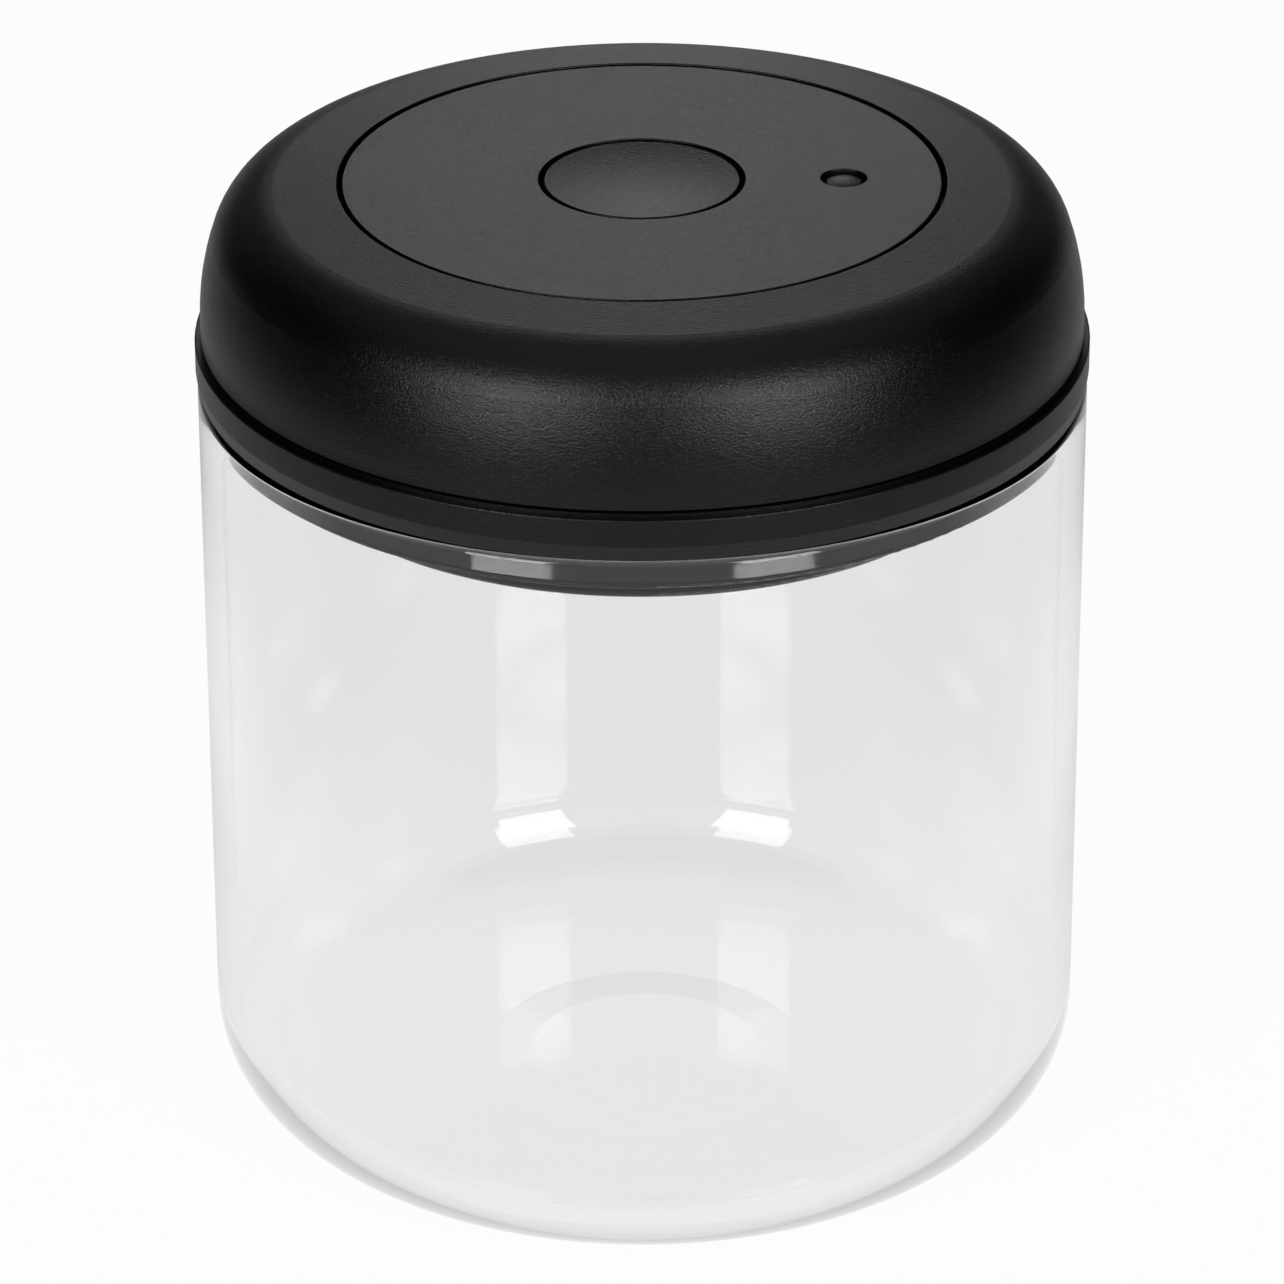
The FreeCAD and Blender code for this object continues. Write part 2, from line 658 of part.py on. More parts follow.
def make_valves(label, seat, thick, turn):
    """Umbrella valves: a cap on the seat, a stem through it and a knob on the other side."""
    body = new_body(label)
    under = seat - thick
    valve = revolve(body, "umbrella", [
        (zero, under - dim.valve_knob_length),
        (dim.valve_stem_radius, under - dim.valve_knob_length),
        (dim.valve_knob_radius, under),
        (dim.valve_stem_radius, under),
        (dim.valve_stem_radius, seat),
        (dim.valve_cap_radius, seat),
        (dim.valve_cap_radius, seat + dim.valve_cap_edge),
        (dim.valve_knob_radius, seat + dim.valve_cap_thick),
        (zero, seat + dim.valve_cap_thick),
    ], turn=turn, axis_place=valve_circle)
    around(body, "umbrellas", [valve])
    return body


# Gasket with a wiping lip

def make_gasket():
    body = new_body("jar_gasket")
    inner = groove_radius + dim.gasket_clear
    low = groove_bottom + dim.gasket_clear
    high = groove_top - dim.gasket_clear
    tip = rim_bore - dim.gasket_reach
    lip_bottom = low + dim.lip_under
    revolve(body, "gasket_section", [
        (inner, low),
        (skirt_radius, low),
        (tip, lip_bottom),
        (tip, lip_bottom + dim.lip_edge),
        (skirt_radius, high),
        (inner, high),
    ])
    return body


# Filter under the plug

cover_bottom = floor_bottom - dim.cover_depth
cover_top = cover_bottom + dim.cover_thick
cover_radius = recess_radius - dim.cover_clear
cover_hollow = cover_radius - dim.cover_rim
slot_outer = cover_hollow - dim.slot_margin
slot_inner = slot_outer - dim.slot_length


def make_filter_cover():
    body = new_body("filter_cover")
    bore = dim.vent_seal_radius + dim.vent_gap
    revolve(body, "cover_plate", [
        (bore, cover_bottom),
        (cover_radius, cover_bottom, dim.cover_round),
        (cover_radius, floor_bottom),
        (cover_hollow, floor_bottom),
        (cover_hollow, cover_top),
        (bore, cover_top),
    ])
    slots = new_sketch(body, "slot_outline", "XY_Plane", offset=cover_top)
    half = dim.slot_width / 2
    slot_round = dim.slot_width * SLOT_ROUND_SHARE
    outline(slots, [
        (slot_inner, -half, slot_round),
        (slot_outer, -half, slot_round),
        (slot_outer, half, slot_round),
        (slot_inner, half, slot_round),
    ])
    slot = pocket(body, "slot", slots, dim.cover_thick + dim.overrun)
    around(body, "slots", [slot], dim.slot_count)
    return body


def make_filter():
    body = new_body("inlet_filter")
    inner = slot_inner - dim.filter_margin
    outer = slot_outer + dim.filter_margin
    revolve(body, "felt", [
        (inner, cover_top),
        (outer, cover_top),
        (outer, cover_top + dim.filter_thick),
        (inner, cover_top + dim.filter_thick),
    ])
    return body


# Pump: piston, its seals and pins, and the barrel cam that lifts it

def make_piston():
    body = new_body("pump_piston")
    revolve(body, "crown_and_sleeve", [
        (piston_inner, piston_bottom),
        (piston_outer, piston_bottom),
        (piston_outer, seal_bottom),
        (piston_outer - dim.seal_depth, seal_bottom),
        (piston_outer - dim.seal_depth, seal_top),
        (piston_outer, seal_top),
        (piston_outer, sleeve_top),
        (sleeve_inner, sleeve_top),
        (sleeve_inner, crown_top),
        (piston_inner, crown_top),
        (piston_inner, seal_top),
        (piston_inner + dim.seal_depth, seal_top),
        (piston_inner + dim.seal_depth, seal_bottom),
        (piston_inner, seal_bottom),
    ])
    holes = new_sketch(body, "pin_hole_outline", "YZ_Plane", offset=sleeve_inner - dim.overrun)
    add_circle(holes, zero, pin_level, dim.pin_radius + dim.pin_fit)
    hole = pocket(body, "pin_hole", holes, dim.sleeve_wall + dim.overrun * 2, outwards=True)
    around(body, "pin_holes", [hole])
    valve_holes(body, "exhaust", crown_top, dim.crown_thick, half_step)
    return body


def make_pins():
    body = new_body("follower_pins")
    sketch = new_sketch(body, "pin_outline", "YZ_Plane", offset=sleeve_inner + dim.pin_fit)
    add_circle(sketch, zero, pin_level, dim.pin_radius)
    pin = pad(body, "pin", sketch, cam_outer - sleeve_inner - dim.pin_fit * 2)
    around(body, "pins", [pin])
    return body


def make_piston_seal(label, wall, back, lip):
    """A ring seal with a hollow back edge: (wall) runs on the pump, (back) lies in the groove."""
    body = new_body(label)
    low = seal_bottom + dim.pin_fit
    high = seal_top - dim.pin_fit
    revolve(body, "seal_section", [
        (back, low),
        (lip, low),
        (wall, (low + high) / 2),
        (lip, high),
        (back, high),
    ])
    return body


def make_outer_seal():
    wall = drum_bore - dim.seal_clear
    back = piston_outer - dim.seal_depth + dim.pin_fit
    return make_piston_seal("piston_outer_seal", wall, back, piston_outer - dim.slide_clear)


def make_inner_seal():
    wall = core_radius + dim.seal_clear
    back = piston_inner + dim.seal_depth - dim.pin_fit
    return make_piston_seal("piston_inner_seal", wall, back, piston_inner + dim.slide_clear)


def make_cam_ring():
    """A tube with closed helical slots, and pairs of outer ribs that take the drive keys."""
    body = new_body("cam_ring")
    cam_bottom = floor_top + dim.running_clear
    revolve(body, "cam_tube", [
        (cam_inner, cam_bottom),
        (cam_outer, cam_bottom),
        (cam_outer, cam_top),
        (cam_inner, cam_top),
    ])

    ribs = new_sketch(body, "channel_outline", "XY_Plane", offset=cam_top, turn=key_turn)
    near = dim.key_thick / 2 + dim.key_clear
    far = near + dim.channel_wall
    middle = (cam_inner + cam_outer) / 2
    reach = wall_radius - dim.channel_gap
    outline(ribs, [
        (middle, near),
        (reach, near),
        (reach, far),
        (middle, far),
    ])
    outline(ribs, [
        (middle, -far),
        (reach, -far),
        (reach, -near),
        (middle, -near),
    ])
    channel = pad(body, "channel", ribs, cam_top - shelf_top - dim.channel_lift)
    channel.Reversed = True
    around(body, "channels", [channel])

    start = new_sketch(body, "cam_slot_outline", "XZ_Plane")
    outline(start, [
        (cam_inner - dim.overrun, pin_level - pin_slot),
        (cam_outer + dim.overrun, pin_level - pin_slot),
        (cam_outer + dim.overrun, pin_level + pin_slot),
        (cam_inner - dim.overrun, pin_level + pin_slot),
    ])
    slot = body.newObject("PartDesign::SubtractiveHelix", "cam_slot")
    slot.Profile = (start, [""])
    slot.ReferenceAxis = (start, ["V_Axis"])
    slot.Mode = "pitch-height-angle"
    slot.setExpression("Pitch", (dim.stroke * 360 / dim.twist_angle).text)
    slot.setExpression("Height", dim.stroke.text)
    slot.Angle = 0
    slot.LeftHanded = True

    cut_depth = cam_outer + dim.overrun
    end_radius = pin_slot + dim.slot_relief
    low = new_sketch(body, "low_end_outline", "YZ_Plane")
    add_circle(low, zero, pin_level, end_radius)
    low_end = pocket(body, "low_end", low, cut_depth, outwards=True)
    high = new_sketch(body, "high_end_outline", "YZ_Plane", turn=-dim.twist_angle)
    add_circle(high, zero, pin_level + dim.stroke, end_radius)
    high_end = pocket(body, "high_end", high, cut_depth, outwards=True)
    around(body, "cam_slots", [slot, low_end, high_end])
    return body


# Twist ring: the dome that the hand turns

ring_bottom = flange_top + dim.ring_gap
side_start = ring_bottom + dim.dome_straight
ring_top = plate_top + dim.plate_sink
ceiling = ring_top - dim.dome_wall
collar_radius = opening_radius + dim.dome_wall
inner_wall = dome_radius - dim.dome_wall


def dome_centres():
    """Centres of the side arc and the shoulder arc.

    The side arc leaves the upright wall, the shoulder arc lies inside it and touches it,
    and the sloping top touches the shoulder and ends at the opening.
    """
    slope = math.radians(dim.crown_angle.value)
    outwards = Vector(math.cos(slope), -math.sin(slope), 0)
    inwards = Vector(-math.sin(slope), -math.cos(slope), 0)
    edge = Vector(opening_radius.value, ring_top.value, 0)
    side = Vector(dome_radius.value - dim.side_arc.value, side_start.value, 0)
    reach = dim.side_arc.value - dim.shoulder_arc.value
    offset = edge + inwards * dim.shoulder_arc.value - side
    along = offset.dot(outwards)
    run = math.sqrt(along * along - offset.dot(offset) + reach * reach) - along
    shoulder = edge + inwards * dim.shoulder_arc.value + outwards * run
    return side, shoulder, -inwards


def make_twist_ring():
    """A turned dome, hollowed from below, with a ledge at its opening and keys that drive the cam."""
    body = new_body("twist_ring")
    side, shoulder, up = dome_centres()
    lean = math.atan2(shoulder.y - side.y, shoulder.x - side.x)
    finish = math.atan2(up.y, up.x)
    side_circle = Part.Circle(side, Vector(0, 0, 1), dim.side_arc.value)
    shoulder_circle = Part.Circle(shoulder, Vector(0, 0, 1), dim.shoulder_arc.value)
    foot = (dome_radius, ring_bottom)
    bend = (dome_radius, side_start)
    edge = (opening_radius, ring_top)
    heel = (opening_radius, ring_bottom)

    sketch = new_sketch(body, "dome_outline", "XZ_Plane")
    wall = sketch.addGeometry(Part.LineSegment(flat(foot), flat(bend)))
    leaning = sketch.addGeometry(Part.ArcOfCircle(side_circle, 0, lean))
    rounded = sketch.addGeometry(Part.ArcOfCircle(shoulder_circle, lean, finish))
    crown = sketch.addGeometry(Part.LineSegment(shoulder + up * dim.shoulder_arc.value, flat(edge)))
    inside = sketch.addGeometry(Part.LineSegment(flat(edge), flat(heel)))
    under = sketch.addGeometry(Part.LineSegment(flat(heel), flat(foot)))
    place_point(sketch, wall, 1, foot)
    place_point(sketch, wall, 2, bend)
    place_point(sketch, inside, 1, edge)
    place_point(sketch, under, 1, heel)
    for before, after in ((wall, leaning), (leaning, rounded), (rounded, crown)):
        sketch.addConstraint(Sketcher.Constraint("Tangent", before, 2, after, 1))
    for before, after in ((crown, inside), (inside, under), (under, wall)):
        sketch.addConstraint(Sketcher.Constraint("Coincident", before, 2, after, 1))
    tie(sketch, "Radius", leaning, 0, dim.side_arc)
    tie(sketch, "Radius", rounded, 0, dim.shoulder_arc)
    heading = 180 - dim.crown_angle
    slope = sketch.addConstraint(Sketcher.Constraint("Angle", crown, math.radians(heading.value)))
    sketch.renameConstraint(slope, "slope")
    sketch.setExpression("Constraints.slope", heading.text)
    turned(body, "dome", sketch)

    revolve(body, "hollow", [
        (opening_radius - dim.overrun, ring_bottom - dim.overrun),
        (inner_wall, ring_bottom - dim.overrun),
        (inner_wall, ceiling, dim.hollow_arc),
        (collar_radius, ceiling),
        (collar_radius, ledge_bottom),
        (opening_radius - dim.overrun, ledge_bottom),
    ], cut=True)
    revolve(body, "ledge", [
        (ledge_radius, ledge_bottom),
        (collar_radius, ledge_bottom),
        (collar_radius, ledge_top),
        (ledge_radius, ledge_top),
    ])

    keys = new_sketch(body, "key_outline", "XZ_Plane", turn=key_turn)
    key_inner = cam_outer + dim.key_clear
    key_bottom = ring_bottom + dim.key_lift
    half_wall = dim.dome_wall / 2
    key_outer = dome_radius - half_wall
    key_top = ceiling + half_wall
    shoulder_corners = [
        (key_outer - dim.shoulder_arc * across, key_top - dim.shoulder_arc * down)
        for across, down in KEY_CORNER_SHARES
    ]
    outline(keys, [
        (key_inner, key_bottom),
        (key_outer, key_bottom),
        (key_outer, side_start),
        *shoulder_corners,
        (key_inner, ceiling + dim.dome_wall / 3),
    ])
    key = pad(body, "drive_key", keys, dim.key_thick, midplane=True)
    around(body, "drive_keys", [key])
    round_edges(body, "soft_edges", [edge, foot], dim.plate_round)
    return body


# Retainer plate, its screws, and the top plate that snaps onto it

head_seat = retainer_top - dim.head_thick - dim.screw_clear
snap_circle = plate_radius - dim.snap_inset
snap_inner = snap_circle - dim.snap_thick / 2
snap_outer = snap_circle + dim.snap_thick / 2


def make_retainer():
    body = new_body("retainer_plate")
    revolve(body, "plate_and_guide", [
        (button_hole, retainer_bottom - dim.guide_drop),
        (guide_outer, retainer_bottom - dim.guide_drop),
        (guide_outer, retainer_bottom),
        (plate_radius, retainer_bottom),
        (plate_radius, retainer_top),
        (button_hole, retainer_top),
    ])
    bosses = new_sketch(body, "boss_outline", "XY_Plane", offset=retainer_bottom, turn=half_step)
    add_circle(bosses, screw_circle, zero, dim.post_radius)
    boss = pad(body, "screw_boss", bosses, dim.boss_drop)
    boss.Reversed = True
    around(body, "screw_bosses", [boss])

    heads = new_sketch(body, "head_outline", "XY_Plane", offset=retainer_top, turn=half_step)
    add_circle(heads, screw_circle, zero, dim.head_radius + dim.screw_clear)
    head = pocket(body, "head_recess", heads, retainer_top - head_seat)
    shanks = new_sketch(body, "shank_outline", "XY_Plane", offset=retainer_top, turn=half_step)
    add_circle(shanks, screw_circle, zero, dim.screw_radius + dim.screw_clear)
    shank = pocket(body, "shank_hole", shanks, dim.retainer_thick + dim.boss_drop + dim.overrun)
    around(body, "screw_holes", [head, shank])

    windows = new_sketch(body, "window_outline", "XY_Plane", offset=retainer_top, turn=snap_turn)
    half = dim.snap_wide / 2 + dim.snap_clear
    low = snap_inner - dim.snap_clear
    high = snap_outer + dim.snap_hook + dim.snap_clear
    outline(windows, [(low, -half), (high, -half), (high, half), (low, half)])
    window = pocket(body, "snap_window", windows, dim.retainer_thick + dim.overrun)
    around(body, "snap_windows", [window])

    pin_hole = new_sketch(body, "pin_hole_outline", "XY_Plane", offset=retainer_top)
    add_circle(pin_hole, indicator_place, zero, indicator_hole)
    body.Tip = pocket(body, "pin_hole", pin_hole, dim.retainer_thick + dim.overrun)
    return body


def make_screws():
    body = new_body("retainer_screws")
    head_top = head_seat + dim.head_thick
    tip = head_seat - dim.screw_length
    screw = revolve(body, "screw", [
        (zero, tip),
        (dim.screw_radius, tip),
        (dim.screw_radius, head_seat),
        (dim.head_radius, head_seat),
        (dim.head_radius, head_top),
        (dim.drive_radius, head_top),
        (dim.drive_radius, head_top - dim.drive_depth),
        (zero, head_top - dim.drive_depth),
    ], turn=half_step, axis_place=screw_circle)
    around(body, "screws", [screw])
    return body


def make_top_plate():
    body = new_body("top_plate")
    revolve(body, "plate", [
        (button_hole, retainer_top),
        (plate_radius, retainer_top),
        (plate_radius, plate_top, dim.plate_round),
        (button_hole, plate_top, dim.plate_round),
    ])
    legs = new_sketch(body, "snap_outline", "XZ_Plane", turn=snap_turn)
    catch = retainer_bottom - dim.pin_fit
    leg_bottom = retainer_bottom - dim.snap_drop
    root = retainer_top + dim.plate_thick / 2
    outline(legs, [
        (snap_inner, leg_bottom),
        (snap_outer, leg_bottom),
        (snap_outer + dim.snap_hook, catch),
        (snap_outer, catch),
        (snap_outer, root),
        (snap_inner, root),
    ])
    leg = pad(body, "snap_leg", legs, dim.snap_wide, midplane=True)
    around(body, "snap_legs", [leg])
    hole = new_sketch(body, "pin_hole_outline", "XY_Plane", offset=plate_top)
    add_circle(hole, indicator_place, zero, indicator_hole)
    body.Tip = pocket(body, "pin_hole", hole, dim.plate_thick + dim.overrun)
    round_edges(body, "soft_pin_hole", [(indicator_hole, plate_top, indicator_place)], dim.plate_round)
    return body


# Release button, vent stem and vent seal

def bow_radius(half_chord, rise):
    """Radius of an arc that rises by the given amount over half its chord."""
    return (half_chord * half_chord + rise * rise) / (rise * 2)


def make_button():
    body = new_body("release_button")
    dish_radius = dim.button_radius - dim.button_round
    socket = dim.stem_radius + dim.pin_fit
    socket_top = button_top - dim.dish_depth - dim.socket_roof
    skirt_inner = dim.button_radius - dim.button_wall
    revolve(body, "dished_cap", [
        (socket, boss_bottom),
        (dim.boss_radius, boss_bottom),
        (dim.boss_radius, button_under),
        (skirt_inner, button_under),
        (skirt_inner, button_bottom),
        (dim.button_radius, button_bottom),
        (dim.button_radius, button_top - dim.button_round),
        (dish_radius, button_top),
        (zero, button_top - dim.dish_depth),
        (zero, socket_top),
        (socket, socket_top),
    ], bows={6: dim.button_round, 7: -bow_radius(dish_radius, dim.dish_depth)})
    return body


def make_stem():
    body = new_body("vent_stem")
    foot_low = vent_seal_bottom - dim.stem_foot_thick
    revolve(body, "stem_and_foot", [
        (zero, foot_low),
        (dim.stem_foot_radius, foot_low),
        (dim.stem_foot_radius, vent_seal_bottom),
        (dim.stem_radius, vent_seal_bottom),
        (dim.stem_radius, stem_top),
        (zero, stem_top),
    ])
    fin_bottom = floor_top + dim.fin_lift
    fins = new_sketch(body, "fin_outline", "XY_Plane", offset=fin_bottom)
    half = dim.fin_thick / 2
    reach = dim.vent_bore - dim.fin_clear
    outline(fins, [(zero, -half), (reach, -half), (reach, half), (zero, half)])
    fin = pad(body, "guide_fin", fins, column_top - dim.button_travel - fin_bottom)
    around(body, "guide_fins", [fin])
    return body


def make_vent_seal():
    body = new_body("vent_seal")
    bore = dim.stem_radius + dim.pin_fit
    lip_inner = dim.vent_bore + dim.vent_lip_width
    lip_outer = lip_inner + dim.vent_lip_width
    face = vent_seal_top - dim.vent_lip
    revolve(body, "poppet_section", [
        (bore, vent_seal_bottom),
        (dim.vent_seal_radius, vent_seal_bottom),
        (dim.vent_seal_radius, face),
        (lip_outer, face),
        (lip_outer, vent_seal_top),
        (lip_inner, vent_seal_top),
        (lip_inner, face),
        (bore, face),
    ])
    return body


# Vacuum indicator

def make_indicator_pin():
    body = new_body("indicator_pin")
    shank_top = foot_top + dim.shank_length
    band_inner = dim.indicator_radius - dim.band_thick
    revolve(body, "pin", [
        (zero, foot_bottom),
        (dim.foot_radius, foot_bottom),
        (dim.foot_radius, foot_top),
        (dim.shank_radius, foot_top),
        (dim.shank_radius, shank_top),
        (dim.indicator_radius, shank_top),
        (dim.indicator_radius, band_bottom),
        (band_inner, band_bottom),
        (band_inner, band_top),
        (dim.indicator_radius, band_top),
        (dim.indicator_radius, indicator_top - dim.indicator_dome),
        (zero, indicator_top),
    ], bows={10: bow_radius(dim.indicator_radius, dim.indicator_dome)})
    stand_at_indicator(body)
    return body


def make_indicator_band():
    body = new_body("indicator_band")
    inner = dim.indicator_radius - dim.band_thick + dim.pin_fit
    revolve(body, "band", [
        (inner, band_bottom + dim.pin_fit),
        (dim.indicator_radius, band_bottom + dim.pin_fit),
        (dim.indicator_radius, band_top - dim.pin_fit),
        (inner, band_top - dim.pin_fit),
    ])
    stand_at_indicator(body)
    return body


def make_indicator_cup():
    body = new_body("indicator_cup")
    inner = dim.shank_radius + dim.pin_fit
    outer = dim.bore_radius - dim.cup_clear
    revolve(body, "cup_section", [
        (inner, foot_top),
        (outer, foot_top),
        (outer, cup_top),
        (outer - dim.cup_lip, cup_top),
        (outer - dim.cup_lip, foot_top + dim.cup_web),
        (inner, foot_top + dim.cup_web),
    ])
    stand_at_indicator(body)
    return body


# Coil springs

def arc_from(start, tangent, end):
    """The arc that leaves start along the tangent and ends at end."""
    chord = end - start
    lean = tangent.getAngle(chord)
    aside = tangent - chord * (tangent.dot(chord) / chord.dot(chord))
    aside.normalize()
    middle = (start + end) * 0.5 + aside * (chord.Length / 2 * math.tan(lean / 2))
    return Part.Arc(start, middle, end).toShape()


def biarc(start, start_tangent, end, end_tangent):
    """Two arcs that join two points of a helix and keep its direction at both."""
    chord = end - start
    both = start_tangent + end_tangent
    spread = 2 * (1 - start_tangent.dot(end_tangent))
    lead = chord.dot(both)
    reach = (math.sqrt(lead * lead + spread * chord.dot(chord)) - lead) / spread
    joint = (start + end + (start_tangent - end_tangent) * reach) * 0.5
    back = arc_from(end, end_tangent * -1, joint)
    return [arc_from(start, start_tangent, joint), back]


def least_gap(radius, rise, turns, wire):
    """Least clear distance between one turn of a coil and the next, measured on points."""
    steps = 36
    places = [index / steps for index in range(int(turns * steps) + 1)]
    points = [
        Vector(radius * math.cos(2 * math.pi * place), radius * math.sin(2 * math.pi * place), rise * place)
        for place in places
    ]
    half_turn = steps // 2
    gaps = [(b - a).Length for index, a in enumerate(points) for b in points[index + half_turn:]]
    return min(gaps) - wire


def make_spring(label, bottom, top, radius, wire, turns, place):
    """One unbroken wire wound upwards in quarter turns of two arcs each."""
    gap = dim.spring_seat_gap + wire / 2
    low = (bottom + gap).value
    rise = ((top - bottom - gap * 2) / turns).value
    quarter = math.pi / 2
    mean = radius.value

    def point(angle):
        return Vector(mean * math.cos(angle), mean * math.sin(angle), low + rise * angle / (2 * math.pi))

    def direction(angle):
        way = Vector(-mean * math.sin(angle), mean * math.cos(angle), rise / (2 * math.pi))
        return way.normalize()

    edges = []
    for index in range(int(turns.value * 4)):
        first = index * quarter
        last = first + quarter
        edges += biarc(point(first), direction(first), point(last), direction(last))
    path = Part.Wire(Part.__sortEdges__(edges))
    section = Part.Wire(Part.Circle(point(0), direction(0), wire.value / 2).toShape())
    coil = path.makePipeShell([section], True, False)
    print(f"{label}: least gap between turns {least_gap(mean, rise, turns.value, wire.value):.2f} mm")
    spring = doc.addObject("Part::Feature", label)
    spring.Label = label
    spring.Shape = coil
    spring.Placement = Placement(Vector(place.value, 0, 0), Rotation())
    return spring


def write_parts(pieces):
    for item in doc.Objects:
        if "Invalid" in item.State or "Error" in item.State:
            raise RuntimeError(f"{item.Label} failed: {item.State}")
    for piece in pieces:
        if piece.Shape.isNull() or not piece.Shape.isValid():
            raise RuntimeError(f"{piece.Label} has no valid shape")
    for piece in pieces:
        piece.Shape.exportStep(f"parts/{piece.Label}.step")
        print(f"{piece.Label}: {len(piece.Shape.Solids)} solids, {piece.Shape.Volume:.1f} mm3")


pieces = [
    make_jar(),
    make_lid_base(),
    make_gasket(),
    make_filter_cover(),
    make_filter(),
    make_valves("intake_valves", floor_top, dim.floor_thick, zero),
    make_piston(),
    make_pins(),
    make_outer_seal(),
    make_inner_seal(),
    make_valves("exhaust_valves", crown_top, dim.crown_thick, half_step),
    make_cam_ring(),
    make_twist_ring(),
    make_retainer(),
    make_screws(),
    make_top_plate(),
    make_button(),
    make_stem(),
    make_vent_seal(),
    make_spring("button_spring", column_top, button_under, dim.spring_radius, dim.spring_wire,
                dim.spring_turns_count, zero),
    make_indicator_pin(),
    make_indicator_band(),
    make_indicator_cup(),
    make_spring("indicator_spring", floor_top, foot_bottom, dim.lift_spring_radius, dim.lift_spring_wire,
                dim.lift_spring_turns_count, indicator_place),
]
doc.recompute()
write_parts(pieces)
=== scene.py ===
# Looks of the vacuum canister: glass, moulded lid, gasket and studio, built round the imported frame
import json
import math

import bpy
import numpy as np
from mathutils import Matrix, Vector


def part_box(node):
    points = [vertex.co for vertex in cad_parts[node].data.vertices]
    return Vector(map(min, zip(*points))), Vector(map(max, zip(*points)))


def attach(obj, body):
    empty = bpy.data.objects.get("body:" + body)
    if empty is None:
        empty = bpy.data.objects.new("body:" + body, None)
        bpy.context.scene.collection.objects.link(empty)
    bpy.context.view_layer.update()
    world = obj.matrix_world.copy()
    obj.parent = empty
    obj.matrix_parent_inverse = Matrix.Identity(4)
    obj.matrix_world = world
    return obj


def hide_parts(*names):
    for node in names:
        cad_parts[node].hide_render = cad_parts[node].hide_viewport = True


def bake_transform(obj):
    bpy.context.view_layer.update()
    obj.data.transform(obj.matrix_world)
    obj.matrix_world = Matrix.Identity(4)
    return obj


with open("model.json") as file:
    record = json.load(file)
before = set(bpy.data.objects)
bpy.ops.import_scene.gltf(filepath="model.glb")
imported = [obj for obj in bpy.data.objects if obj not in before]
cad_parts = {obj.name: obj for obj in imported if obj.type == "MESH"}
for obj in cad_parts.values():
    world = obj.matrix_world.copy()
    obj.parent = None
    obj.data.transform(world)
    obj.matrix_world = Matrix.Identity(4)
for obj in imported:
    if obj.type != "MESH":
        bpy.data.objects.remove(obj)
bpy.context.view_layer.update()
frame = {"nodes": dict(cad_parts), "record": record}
nodes = frame["nodes"]
mm = 0.001
tiny = 1e-12
scene = bpy.context.scene
scene.view_settings.view_transform = "Standard"
print("frame loaded:", len(nodes), "nodes")


# Outlines and turned surfaces

# An outline is a row of (distance from the axis, height, rounding) corners in millimetres.
# A rounding touches its two sides at rounding / tan(half the corner's angle) from the corner,
# and its points swing about a centre at rounding / sin(half the angle) along the bisector.
def roundedOutline(corners, closed=True, steps=14):
    rows = np.array([(*corner, 0.0)[:3] for corner in corners], float)
    place, rounding = rows[:, :2], rows[:, 2]
    back = np.roll(place, 1, 0) - place
    ahead = np.roll(place, -1, 0) - place
    back /= np.linalg.norm(back, axis=1, keepdims=True)
    ahead /= np.linalg.norm(ahead, axis=1, keepdims=True)
    half = np.arccos(np.clip((back * ahead).sum(1), -1, 1)) / 2
    bisector = back + ahead
    bisector /= np.linalg.norm(bisector, axis=1, keepdims=True) + tiny
    touch = (rounding / np.tan(half))[:, None]
    centre = place + bisector * (rounding / np.sin(half))[:, None]
    first = place + back * touch - centre
    last = place + ahead * touch - centre
    begin = np.arctan2(first[:, 1], first[:, 0])
    sweep = (np.arctan2(last[:, 1], last[:, 0]) - begin + math.pi) % (2 * math.pi) - math.pi
    swing = begin[:, None] + sweep[:, None] * np.linspace(0, 1, steps)
    arcs = centre[:, None] + rounding[:, None, None] * np.stack([np.cos(swing), np.sin(swing)], -1)
    soft = rounding > 0
    if not closed:
        soft[[0, -1]] = False
    parts = [arc if isSoft else corner[None] for arc, corner, isSoft in zip(arcs, place, soft)]
    return np.concatenate(parts)


# Adds points along the straight runs of an outline, so that no step is longer than the given one
def evenOutline(points, step, closed=True):
    after = np.roll(points, -1, 0)
    if not closed:
        points, after, end = points[:-1], after[:-1], points[-1:]
    count = np.maximum(1, np.ceil(np.linalg.norm(after - points, axis=1) / step)).astype(int)
    run = np.repeat(np.arange(len(points)), count)
    share = (np.arange(len(run)) - np.repeat(np.cumsum(count) - count, count)) / count[run]
    filled = points[run] + (after - points)[run] * share[:, None]
    return filled if closed else np.concatenate([filled, end])


# Faces of a grid whose columns close round the axis. Rows close too, unless the grid ends in two poles,
# which then are the last two points. The grid's points are numbered from start.
def ringFaces(rows, around, poles, start=0):
    row, column = np.meshgrid(np.arange(rows - 1 if poles else rows), np.arange(around), indexing="ij")
    beside, above = (column + 1) % around, (row + 1) % rows
    quads = np.stack([row * around + column, row * around + beside, above * around + beside,
                      above * around + column], -1).reshape(-1, 4)
    faces = (start + quads).tolist()
    if poles:
        ring = np.arange(around)
        following = (ring + 1) % around
        lastRow = (rows - 1) * around
        pole = np.full(around, rows * around)
        faces += (start + np.stack([following, ring, pole], -1)).tolist()
        faces += (start + np.stack([lastRow + ring, lastRow + following, pole + 1], -1)).tolist()
    return faces


